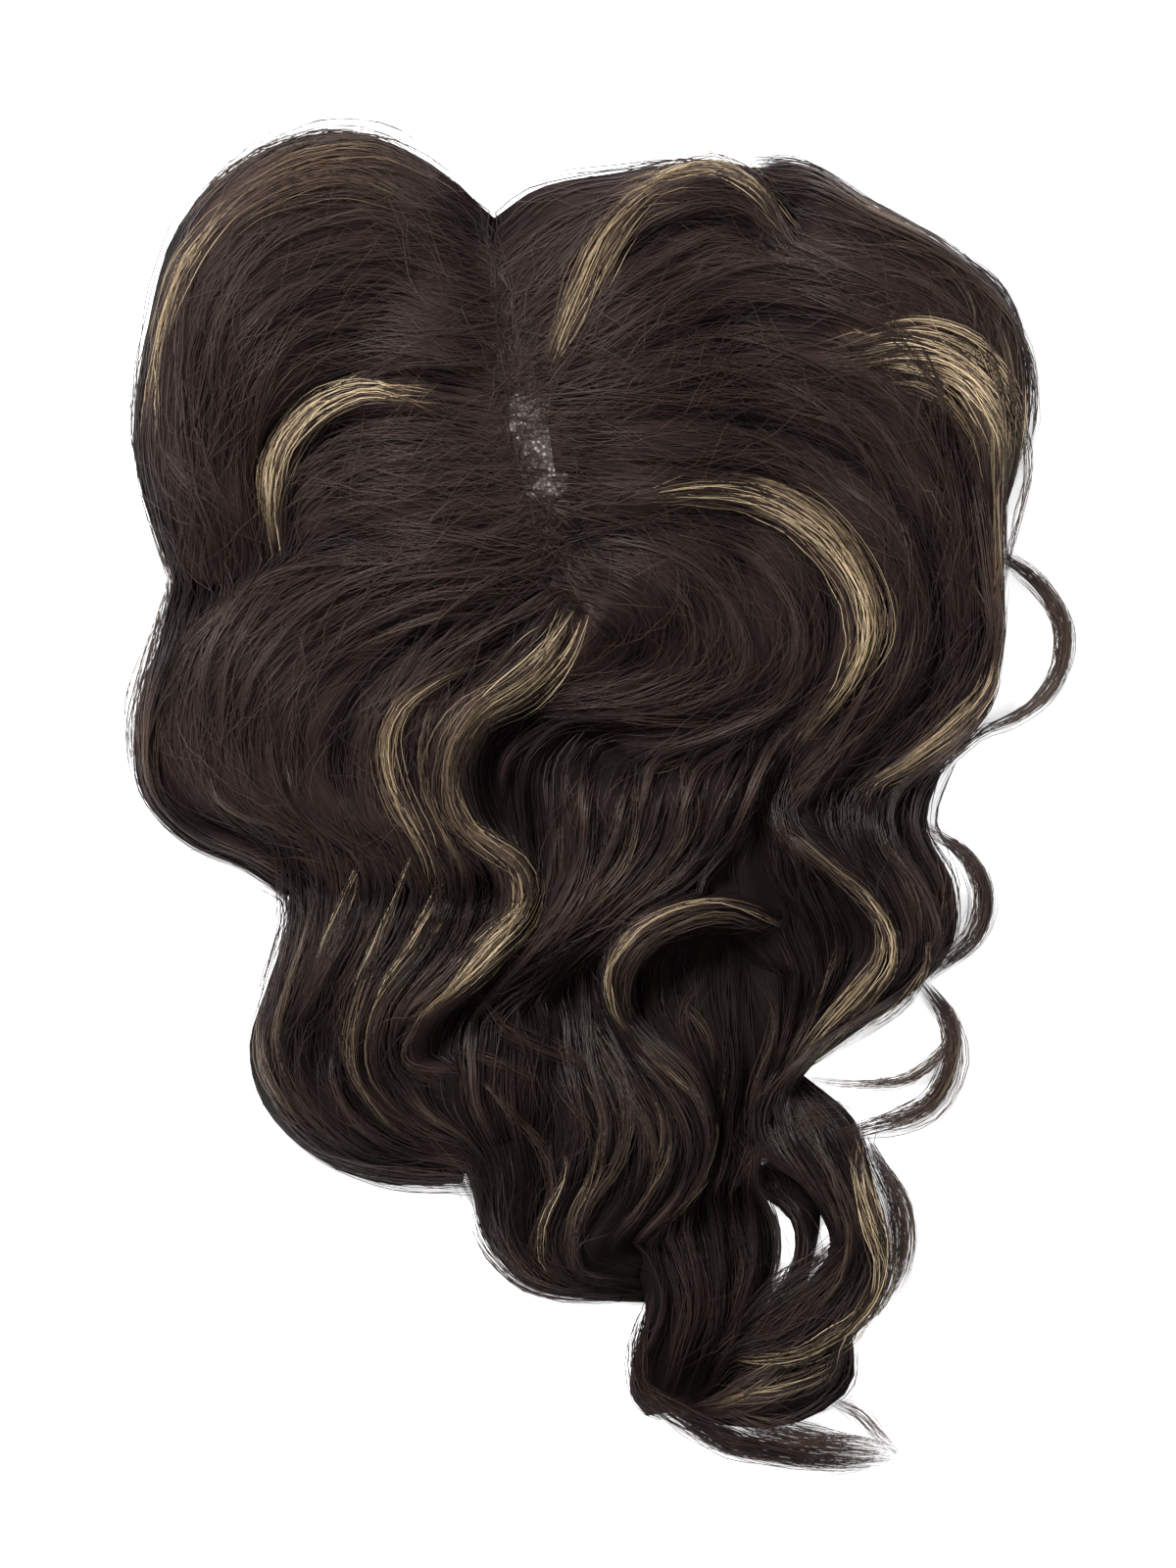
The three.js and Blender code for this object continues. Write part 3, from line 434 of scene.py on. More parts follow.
# Strands of the brushed crown, and of the sleeker curls below it
CROWN_KINDS = (
    StrandKind(0.24, 1, 0, 0, 0, (0.26, 0.42), (0.6, 2.2), 1.2, (70, 150), -0.03, 4, 0.4),
    StrandKind(0.22, 8, 6, 0.6, 2.2, (0.18, 0.3), (0.0, 0.6), 1.2, (35, 90), 0.03, 19, 0.8),
    StrandKind(0.42, 1, 0, 0, 0, (0.14, 0.24), (-1.2, 0.2), 2.2, (22, 70), 0.07, 33, 1.6),
    StrandKind(0.36, 1, 0, 0, 0, (0.12, 0.2), (-2.6, -0.4), 3.6, (18, 55), 0.14, 62, 3.4),
)
CURL_KINDS = (
    StrandKind(0.28, 1, 0, 0, 0, (0.26, 0.42), (0.6, 2.4), 0.8, (80, 170), -0.06, 3, 0.4),
    StrandKind(0.46, 14, 9, 0.7, 2.8, (0.18, 0.32), (0.0, 0.6), 0.8, (45, 110), 0.02, 12, 0.8),
    StrandKind(0.24, 2, 4, 0.4, 0.8, (0.14, 0.23), (-0.9, 0.0), 2.0, (28, 90), 0.06, 22, 1.6),
    StrandKind(0.18, 1, 0, 0, 0, (0.12, 0.18), (-2.8, -0.5), 4.0, (20, 60), 0.15, 58, 3),
)

# Strand map: strands lie in a low band by their tone, with the three sides of a tube a little apart, and the
# gathered hair above it by its place in millimetres
STRAND_MAPS = "Strand", "OFBake"
TONE_BAND, TONE_LIMITS, SIDE_STEP = 0.28, (0.03, 0.98), 0.003
BED_START, BED_ALONG, BED_ACROSS = 0.5, 320.0, 190.0

# A lock's top: the share of its height at a root in the base or at a tucked end and the length over which it
# rises from there, the length of its waves, and the height from which its ridges are full
ROOT_RISE, TUCKED_RISE = (0.12, 26), (0.4, 20)
WAVE_LENGTH = 50
FULL_RELIEF = 8

# Ridges swing to the side along a lock, by a share of their pitch, and finer ones lie on them and swing more
RIDGE_SWING, RIDGE_TURNS = 0.35, 5
FINE_RIDGES, FINE_SWING, FINE_TURNS, FINE_SHARE = 2.3, 1.5, 8, 0.4

# Tone below which a lock lies in a hollow, and takes little light: its strands get a dull finish as painted
# shade
HOLLOW_TONE = -0.15

# Roughness and gloss of the strands of each finish; the little gloss of the strands in hollows is painted
# shade
STRAND_LOOKS = {"crown_strands": (0.34, 0.26), "curl_strands": (0.28, 0.31), "hollow_strands": (0.4, 0.1)}

# Half width from which a tress also tints the hair round it, the share of the strands it tints, how sharply
# they are chosen, the depth in it over which they change, the share of its length that counts as all of it,
# and the lowest light, the range of lights and the order in which strands take them
WIDE_TRESS = 2.0
TRESS_SHARE, TRESS_CHOICE, TRESS_EDGE, TRESS_INSIDE = 0.55, 0.06, (0.01, 0.25), 0.8
TINT_LOW, TINT_RANGE, TINT_SHUFFLE = 0.7, 0.4, 7

# Strands: the share of its way behind a strand's seed, how much strands of the curls stray to those of the
# crown, the narrowest lock in which they stray in full, and how far those of the crown reach past their roots
SEED_PLACES = 0.25, 0.65
CURL_STRAY, FULL_STRAY_WIDTH = 0.8, 22
PAST_ROOT = 5

# Tufts: how far strands scatter over the half width, in tresses too, the widest tuft as a share of its lock,
# how their widths and heights vary, where they start to close, and the length over which they rise from their
# roots and fall to their tips
SCATTER = 0.5
WIDEST_TUFT = 0.8
TUFT_WIDTHS, TUFT_HEIGHTS = (0.5, 1.3), (0.4, 1.3)
TUFT_CLOSES = 0.1, 1
TUFT_RISE, TUFT_FALL = (0, 24), (-4, 24)

# Ends of strands: how ragged roots and tips are, how high on the base a strand may cross the parting, how
# bare a place it may reach into, and the steps that the shortest has
RAGGED_ROOT, RAGGED_TIP = (0, 9), (-1, 9)
CROSSING_HEIGHT = 1.0
BARE_ENDS = 0.2, 1.8
FEWEST_STEPS = 3

# Waves to the side: sizes as shares of the sway, with shortest and longest, how much strands vary, and how
# far they are held back over a stretch past the outline
STRAND_WAVES = (1, 45, 110), (0.4, 14, 30)
WAVE_SIZES = 0.3, 1.0
HELD_BACK, HELD_OVER = 0.85, (0, 2.5)

# Tones: how much tufts and single strands vary, the painted highlight that standing up adds, how much more
# painted shade in the grooves and painted light on ridges and wave crests the curls get than the crown, and
# how much a tuft and a strand weigh in the choice of the strands that a tress tints
TUFT_VARIES, STRAND_VARIES = 0.7, 0.5
LIFT_HIGHLIGHT = 0.02
CURL_SHADE_CONTRAST = 2.6
TUFT_RANK, STRAND_RANK = 0.4, 0.6

# Tresses: the fewest strands and steps, where strands start and end as shares of the line, how far aside they
# lie, the width at the ends, the waves with their sizes, and the depths and widths of the strands
TRESS_FEWEST, TRESS_STEPS = 6, 9
TRESS_STARTS, TRESS_ENDS = (-0.15, 0.4), (0.6, 1.15)
TRESS_REACH, TRESS_TAPER = 1.3, 0.4
TRESS_WAVES = (0.9, 40, 90), (0.4, 16, 30)
TRESS_DEPTHS, TRESS_WIDTHS = (-2.2, 0.1), (0.13, 0.26)

# Tones of a tress: brown strands over the base tone, the least light and its range, how late the dullest
# strands lighten and how much sooner the brightest do, where that starts before the root and the tip, and
# the share of the shade
BROWN_OVER = 0.12
SHINE_LOW, SHINE_RANGE = 0.66, 0.58
FADE_LATE, FADE_SOONER = 2.4, 1.6
FADE_ROOT, FADE_TIP = -8, -14
TRESS_SHADE = 0.5

# Tucking in: the height past which hair lies well up on the base, how deep roots go there and elsewhere and
# tips go, over which length, where a strand's own depth comes in and goes out, and its height over the base
WELL_UP = 8
ROOT_TUCK_UP, ROOT_TUCK, TIP_TUCK, TUCK_LENGTH = 0.9, 2.5, 1.2, 12
DEPTH_IN, DEPTH_OUT = (0, 20), (-6, 14)
STRAND_CLEAR = 0.35

# Thinning: a strand's width over the radius of its three-sided tube, where it thickens from its root and
# thins to its tip, and the share of its width there
WIDTH_OF_RADIUS = 1.73
THICKENS, THINS, TIP_WIDTH = (-4, 10), (0, 22), 0.2

# Tied hairs: points of one and steps to its usual length, how bare a place they start in, how they fan out
# and bend in degrees, the share that lies forwards, their lengths in steps, how far they rise and over which
# length, how far they stay off the base, their widths, how far they thin, and their tones
TIED_POINTS, TIED_STEPS = 8, 5
TIED_BARE = 0.0, 1.2
TIED_FAN, TIED_BEND, TIED_FORWARDS = (-65, 65), (-4, 4), 0.4
TIED_LENGTHS = 2.2, 6
TIED_RISE, TIED_RISES_OVER, TIED_CLEAR = (-0.1, 1.1), (-1, 5), 0.3
TIED_WIDTHS, TIED_THINS, TIED_TONES = (0.14, 0.24), 0.8, (-0.1, 0.12)

# Gathered hair: the share of fringe past which a lock has none, the fewest rows and columns, the rows at a
# root that are made finer and how many they become, and how far it may lie past the outline
BED_FRINGE, BED_FEWEST = 0.8, 4
ROOT_ROWS, FINE_ROWS = 3, 9
BED_PAST = 2.0

# Its heights: how far off the base it stays, its least thickness, how high on the base it may lie past the
# outline, over how many cells it passes to its neighbours, how far and where it sinks under them, how far and
# where it opens at the bare place, and how thick its ends are
BED_CLEAR, BED_THICK, BED_ON_BASE = 0.1, 0.1, 2.0
OWN_BLUR, BED_SINKS, OWN_SHARE = 2.0, 3.0, (0.15, 0.6)
BED_OPENS, BED_OPEN_FROM, BED_END = 1.7, (0.35, 1), 0.2

# Its tones: below the lock's by a painted shade, and its share of a tress's
BED_SHADE, BED_TRESS = 0.08, 0.3


def smooth_step(start, end, value):
    """0 before start, 1 after end and an even rise between them."""
    part = np.clip((value - start) / (end - start), 0, 1)
    return part * part * (3 - 2 * part)


def unit(vectors):
    """The vectors at a length of one."""
    return vectors / np.maximum(np.linalg.norm(vectors, axis=-1, keepdims=True), 1e-9)


def left_of(heading):
    """Directions a quarter turn to the left of plan headings."""
    return np.stack((-heading[..., 1], heading[..., 0]), -1)


def way_length(points):
    """Length of the way from point to point."""
    return np.linalg.norm(np.diff(points, axis=0), axis=1).sum()


def base_height(points):
    """Height of the lace base's outer face at plan points, and zero beyond its rim."""
    reach = np.hypot(points[..., 0] - BASE_MIDDLE[0], (points[..., 1] - BASE_MIDDLE[1]) / STRETCH)
    return np.sqrt(CAP_RADIUS**2 - np.minimum(reach, RIM_RADIUS) ** 2) - CAP_DEPTH


def bare_reach(points):
    """How far plan points lie from the middle of the bare place in the parting: 1 on its edge."""
    x, y = np.moveaxis(points - BARE_MIDDLE, -1, 0)
    return np.hypot((x + BARE_LEAN * y) / BARE_HALF[0], y / BARE_HALF[1])


def bareness(points):
    """1 in the middle of the bare place, and fading to 0 past its edge."""
    return 1 - smooth_step(*BARE_FADE, bare_reach(points))


def slope(first, middle, last, gap, next_gap):
    """Slope of a curve at the middle one of three points with these gaps between them."""
    return (middle - first) / gap - (last - first) / (gap + next_gap) + (last - middle) / next_gap


def rail(points, share):
    """Places on a smooth curve through points, at shares of the way along it."""
    points = np.asarray(points, float)
    ends = 2 * points[[0, -1]] - points[[1, -2]]
    points = np.vstack((ends[:1], points, ends[1:]))
    place = np.clip(share, 0, 1) * (len(points) - 3)
    first = np.minimum(place.astype(int), len(points) - 4)
    part = (place - first)[:, None]
    near = [points[first + k] for k in range(4)]
    gaps = [np.sqrt(np.linalg.norm(q - p, axis=1, keepdims=True)) for p, q in zip(near, near[1:])]
    leave = slope(*near[:3], *gaps[:2]) * gaps[1]
    arrive = slope(*near[1:], *gaps[1:]) * gaps[1]
    start, end = near[1:3]
    step = end - start
    bend = 3 * step - 2 * leave - arrive
    turn_back = leave + arrive - 2 * step
    return start + part * leave + part**2 * bend + part**3 * turn_back


@dataclasses.dataclass
class Lock:
    """A lock of hair: two rails in plan and a crowned top between them."""

    number: int
    name: str
    slot: str
    edges: tuple
    fringe: tuple
    rooted: bool
    density: float
    tone: float
    rail_a: np.ndarray
    rail_b: np.ndarray
    crown: np.ndarray

    # Points along the rails from which length and width are measured
    SAMPLES = 40

    def __post_init__(self):
        shares = np.linspace(0, 1, self.SAMPLES)
        side_a, side_b = rail(self.rail_a, shares), rail(self.rail_b, shares)
        self.length = way_length((side_a + side_b) / 2)
        self.width = np.linalg.norm(side_a - side_b, axis=1).mean()
        self.random = np.random.default_rng(self.number + 1)
        self.phases = self.random.uniform(0, 2 * math.pi, 4)

    def patch(self, along, across):
        """Plan points, top heights and how far the hair stands out at shares along and across the lock."""
        a = rail(self.rail_a, along)[:, None]
        b = rail(self.rail_b, along)[:, None]
        points = a + (b - a) * across[None, :, None]
        heights = rail(np.column_stack((np.arange(len(self.crown)), self.crown)), along)[:, 1:]
        edge = self.edges[0] + (self.edges[1] - self.edges[0]) * across
        rounded = np.clip(4 * across * (1 - across), 0, 1) ** BULGE
        top = LOFT * heights * (edge + (1 - edge) * rounded)
        low, rise = ROOT_RISE if self.rooted else TUCKED_RISE
        top = top * (low + (1 - low) * smooth_step(0, rise, along * self.length))[:, None]
        ridges = self.ridges(along, across)
        hair = bpy.context.scene.topper_hair
        wave = np.cos(2 * math.pi * along * self.length / WAVE_LENGTH + self.phases[3])[:, None]
        height = (hair.ridge_height if self.rooted else hair.curl_ridge_height) / MM
        relief = (height * ridges + hair.swell / MM * wave) * np.minimum(top / FULL_RELIEF, 1)
        return points, base_height(points) + top + relief, ridges if self.rooted else ridges + wave

    def ridges(self, along, across):
        """Fine ridges that run along the lock where its hair has gathered."""
        count = max(self.width * MM / bpy.context.scene.topper_hair.ridge_pitch, 1)
        swing = RIDGE_SWING * np.sin(RIDGE_TURNS * along + self.phases[0])[:, None]
        turn = 2 * math.pi * (count * across[None] + swing)
        fine = FINE_RIDGES * turn + FINE_SWING * np.sin(FINE_TURNS * along + self.phases[3])[:, None]
        return (1 - FINE_SHARE) * np.cos(turn + self.phases[1]) + FINE_SHARE * np.cos(fine + self.phases[2])


def all_locks():
    """The locks and then the wisps, the uppermost first."""
    made = []
    for name, slot, edge_a, edge_b, fringe_a, fringe_b, rooted, density, tone, sections in LOCKS:
        table = np.array(sections, float)
        made.append(Lock(len(made), name, slot, (edge_a, edge_b), (fringe_a, fringe_b), rooted, density, tone,
                         table[:, :2], table[:, 2:4], table[:, 4]))
    for name, density, sections in WISPS:
        table = np.array(sections, float)
        middle = table[:, :2]
        side = left_of(unit(np.gradient(middle, axis=0))) * table[:, 2:3] / 2
        made.append(Lock(len(made), name, "hair_brown", (WISP_EDGE,) * 2, (WISP_FRINGE,) * 2, False, density,
                         WISP_TONE, middle + side, middle - side, table[:, 3]))
    return made


def blurred(layer, cells):
    """The layer softened over a number of cells."""
    reach = int(3 * cells)
    shifts = range(-reach, reach + 1)
    weights = np.exp(-0.5 * (np.array(shifts) / cells) ** 2)
    weights /= weights.sum()
    for axis in (0, 1):
        layer = sum(weight * np.roll(layer, shift, axis) for weight, shift in zip(weights, shifts))
    return layer


class HairField:
    """Plan grid of the hair's top: its height, the way it is combed and which lock lies uppermost."""

    # The grid's corners and cell in millimetres, and how many cells past the hair's edge it knows the flow
    LOW = np.array((-172.0, -232.0))
    HIGH = np.array((172.0, 232.0))
    CELL = 1.0
    SPREAD = 14

    # Samples to each cell along and across a lock, and the fewest across
    ALONG, ACROSS, FEWEST = 2.6, 3.4, 8

    # Length of a lock's ends that lie under what is higher, and the stretch from its start that is shaded
    TUCKED_END = 14.0
    END_SHADE = 6, 38

    # Cells over which the steps, the flow, the shade and the painted light at the rim are softened, the hair
    # around a hollow, and the hair past the edge, which keeps a share of its height at each cell
    STEP_BLUR, FLOW_BLUR, SHADE_BLUR, RIM_BLUR, AROUND_BLUR, EDGE_BLUR = 1.3, 2.0, 2, 3, 7, 0.8
    EDGE_KEEPS = 0.8

    # Depth in millimetres at which a hollow has a shade of 1, and the deepest shade
    HOLLOW_DEPTH, DEEPEST_SHADE = 4, 1.5

    def __init__(self, locks):
        self.locks = locks
        shape = tuple(((self.HIGH - self.LOW) / self.CELL).astype(int)[::-1])
        self.lock = np.full(shape, -1)
        self.height, self.ridge, self.shade = (np.zeros(shape) for _ in range(3))
        self.flow = np.zeros(shape + (2,))
        for lock in reversed(locks):
            self.lay(lock)
        self.settle()

    def lay(self, lock):
        """Writes one lock over those below it."""
        along = np.linspace(0, 1, int(lock.length / self.CELL * self.ALONG))
        across = np.linspace(0, 1, max(int(lock.width / self.CELL * self.ACROSS), self.FEWEST))
        points, heights, ridges = lock.patch(along, across)
        cells = np.rint((points - self.LOW) / self.CELL).astype(int)
        rows, columns = cells[..., 1], cells[..., 0]
        end = np.minimum(along, 1 - along)[:, None] * lock.length
        shows = (heights > self.height[rows, columns]) | (end > self.TUCKED_END)
        # The root half of a lock that starts in the base always shows
        shows |= lock.rooted & (along < 0.5)[:, None]
        rows, columns = rows[shows], columns[shows]
        self.lock[rows, columns] = lock.number
        self.height[rows, columns] = heights[shows]
        self.ridge[rows, columns] = ridges[shows]
        shade = np.zeros(len(along)) if lock.rooted else 1 - smooth_step(*self.END_SHADE, along * lock.length)
        self.shade[rows, columns] = np.broadcast_to(shade[:, None], shows.shape)[shows]
        self.flow[rows, columns] = unit(np.gradient(points, axis=0))[shows]

    def settle(self):
        """Softens the steps between locks and carries the flow a little way past the hair's edge."""
        covered = (self.lock >= 0).astype(float)
        share = np.maximum(blurred(covered, self.STEP_BLUR), 1e-6)
        self.height = blurred(self.height * covered, self.STEP_BLUR) / share * covered
        self.flow = unit(blurred(self.flow * covered[..., None], self.FLOW_BLUR)) * covered[..., None]
        share = np.maximum(blurred(covered, self.AROUND_BLUR), 1e-6)
        around = blurred(self.height * covered, self.AROUND_BLUR) / share
        hollow = np.clip((around - self.height) / self.HOLLOW_DEPTH, 0, self.DEEPEST_SHADE)
        self.shade = blurred(self.shade, self.SHADE_BLUR) + hollow * covered
        self.rim = np.clip(2 * (1 - blurred(covered, self.RIM_BLUR)), 0, 1)
        known = covered.copy()
        self.outside = np.where(self.lock >= 0, 0.0, self.SPREAD + 1.0)
        for away in range(self.SPREAD):
            near = blurred(known, self.EDGE_BLUR)
            fill = (known == 0) & (near > 1e-4)
            height = self.EDGE_KEEPS * blurred(self.height * known, self.EDGE_BLUR) / np.maximum(near, 1e-4)
            self.height[fill] = height[fill]
            self.flow[fill] = unit(blurred(self.flow * known[..., None], self.EDGE_BLUR))[fill]
            self.outside[fill] = (away + 1) * self.CELL
            known[fill] = 1

    def own_cells(self, lock):
        """Plan points of the cells where a lock lies uppermost."""
        return self.LOW + np.argwhere(self.lock == lock.number)[:, ::-1]

    def read(self, layer, points):
        """A layer's values at plan points, blended between the nearest cells."""
        place = (points - self.LOW) / self.CELL
        limit = np.array(layer.shape[1::-1]) - 2
        corner = np.clip(np.floor(place).astype(int), 0, limit)
        part = np.clip(place - corner, 0, 1)
        extra = (None,) * (layer.ndim - 2)
        x, y = part[(..., 0) + extra], part[(..., 1) + extra]
        column, row = corner[..., 0], corner[..., 1]
        low = layer[row, column] * (1 - x) + layer[row, column + 1] * x
        high = layer[row + 1, column] * (1 - x) + layer[row + 1, column + 1] * x
        return low * (1 - y) + high * y

    def way(self, points, sign, turn):
        """Heading at plan points, forwards or backwards along the flow, turned a little to the side."""
        x, y = np.moveaxis(sign * unit(self.read(self.flow, points)), -1, 0)
        return np.stack((x * np.cos(turn) - y * np.sin(turn), x * np.sin(turn) + y * np.cos(turn)), -1)

    def comb(self, seeds, behind, ahead, step, turn, stand_out):
        """Paths along the flow both ways from seed points: plan points, headings and which points count."""
        limit = math.cos(math.radians(bpy.context.scene.topper_hair.sharpest_turn_degrees))
        halves = []
        for sign, reach, room in ((-1, behind, stand_out[0]), (1, ahead, stand_out[1])):
            place = seeds.copy()
            heading = self.way(place, sign, turn)
            alive = np.ones(len(seeds), bool)
            half = []
            for i in range(int(reach.max() / step)):
                middle = self.way(place + 0.5 * step * heading, sign, turn)
                place = place + step * np.where(alive[:, None], middle, heading)
                onward = self.way(place, sign, turn)
                alive = alive & ((i + 1) * step < reach) & ((onward * heading).sum(1) > limit)
                alive &= self.read(self.outside, place) <= room
                heading = np.where(alive[:, None], onward, heading)
                half.append((place, sign * heading, alive))
            halves.append(half)
        own = (seeds, self.way(seeds, 1, turn), np.ones(len(seeds), bool))
        order = halves[0][::-1] + [own] + halves[1]
        return tuple(np.stack([sample[k] for sample in order], axis=1) for k in range(3))


@functools.lru_cache(maxsize=1)
def hair_field():
    """The field of the whole hairpiece, made once."""
    return HairField(all_locks())


def tress_depth(points, half_width, way):
    """How deep plan points lie in a tress: 1 on its line, and fading over its half width."""
    nearest = np.full(points.shape[:-1], np.inf)
    for start, end in zip(np.array(way[:-1], float), np.array(way[1:], float)):
        run = end - start
        part = np.clip(((points - start) @ run) / (run @ run), 0, 1)
        nearest = np.minimum(nearest, np.linalg.norm(points - start - part[..., None] * run, axis=-1))
    return np.exp(-((nearest / half_width) ** 2))


def wide_tresses(points):
    """Tone, half width and line of each wide tress that comes near plan points."""
    for light, half_width, *way in (tress for _, *tresses in TRESSES for tress in tresses):
        low = np.min(way, axis=0) - 2 * half_width
        high = np.max(way, axis=0) + 2 * half_width
        if half_width >= WIDE_TRESS and ((points > low) & (points < high)).all(-1).any():
            yield light, half_width, way


def streaked(path, kept, tone, rank, step):
    """Tones along strands: light for those that run mostly inside a tress."""
    count = np.maximum(kept.sum(1, keepdims=True), 1)
    for light, half_width, way in wide_tresses(path):
        depth = tress_depth(path, half_width, way)
        most = np.minimum(count, TRESS_INSIDE * way_length(way) / step)
        mean = (depth * kept).sum(1, keepdims=True) / most
        share = smooth_step(rank - TRESS_CHOICE, rank + TRESS_CHOICE, TRESS_SHARE * mean)
        share = share * smooth_step(*TRESS_EDGE, depth)
        tint = light * (TINT_LOW + TINT_RANGE * (rank * TINT_SHUFFLE % 1))
        tone = tone + (tint - tone) * share
    return tone


def array_mesh(name, points, quads, triangles, uv):
    """A mesh from arrays of corners, in millimetres of the tables, with its strand map."""
    mesh = bpy.data.meshes.new(name)
    corners = np.concatenate((quads.ravel(), triangles.ravel()))
    sizes = np.concatenate((np.full(len(quads), 4), np.full(len(triangles), 3)))
    placed = np.array(points, float)
    placed[:, :2] += TABLE_SHIFT
    mesh.vertices.add(len(placed))
    mesh.vertices.foreach_set("co", (placed * MM).astype(np.float32).ravel())
    mesh.loops.add(len(corners))
    mesh.loops.foreach_set("vertex_index", corners.astype(np.int32))
    mesh.polygons.add(len(sizes))
    mesh.polygons.foreach_set("loop_start", (np.cumsum(sizes) - sizes).astype(np.int32))
    mesh.polygons.foreach_set("use_smooth", np.ones(len(sizes), bool))
    mesh.update(calc_edges=True)
    for layer in STRAND_MAPS:
        mesh.uv_layers.new(name=layer).data.foreach_set("uv", uv[corners].astype(np.float32).ravel())
    mesh.validate()
    return mesh


def strand_tubes(path, level, kept, radius, tone):
    """Arrays of three-sided tubes along strand paths: points, side faces, end faces and strand map."""
    strand = np.broadcast_to(np.arange(len(path))[:, None], kept.shape)[kept]
    points = np.concatenate((path, level[..., None]), -1)[kept]
    first = np.diff(strand, prepend=-1) != 0
    last = np.diff(strand, append=-1) != 0
    index = np.arange(len(points))
    tangent = unit(points[index + ~last] - points[index - ~first])
    side = unit(np.cross(tangent, (0.0, 0.0, 1.0)))
    up = np.cross(side, tangent)
    starts = index[first]
    counts = np.diff(np.r_[starts, len(points)])
    along = (index - np.repeat(starts, counts)) / np.repeat(np.maximum(counts - 1, 1), counts)
    band = TONE_BAND * np.clip(tone[kept], *TONE_LIMITS)
    rings, maps = [], []
    for k, angle in enumerate((90, 210, 330)):
        outward = side * math.cos(math.radians(angle)) + up * math.sin(math.radians(angle))
        rings.append(points + outward * radius[kept][:, None])
        maps.append(np.column_stack((along, band + SIDE_STEP * (k - 1))))
    corner = 3 * index[~last]
    quads = np.concatenate([
        np.column_stack((corner + k, corner + (k + 1) % 3, corner + 3 + (k + 1) % 3, corner + 3 + k))
        for k in range(3)])
    ends = np.concatenate((3 * index[first][:, None] + (2, 1, 0), 3 * index[last][:, None] + (0, 1, 2)))
    return np.stack(rings, 1).reshape(-1, 3), quads, ends, np.stack(maps, 1).reshape(-1, 2)


def tucked_tubes(field, path, kept, step, depth, width, tone):
    """Arrays of strands at a depth under the hair's top, tucked in and thinned at both ends."""
    run = np.cumsum(kept, axis=1) * step
    left = run[:, -1:] - run
    root = np.where(base_height(path) > WELL_UP, ROOT_TUCK_UP, ROOT_TUCK)
    tuck = root * (1 - smooth_step(0, TUCK_LENGTH, run - step))
    tuck = tuck + TIP_TUCK * (1 - smooth_step(0, TUCK_LENGTH, left))
    depth = depth * smooth_step(*DEPTH_IN, run) * smooth_step(*DEPTH_OUT, left) + tuck
    level = np.maximum(field.read(field.height, path) - depth, base_height(path) + STRAND_CLEAR)
    for _ in range(2):
        level = (np.roll(level, 1, 1) + 2 * level + np.roll(level, -1, 1)) / 4
    radius = width / WIDTH_OF_RADIUS * smooth_step(*THICKENS, run - step)
    radius = radius * (TIP_WIDTH + (1 - TIP_WIDTH) * smooth_step(*THINS, left))
    return strand_tubes(path, level, kept, radius, np.broadcast_to(tone, kept.shape))


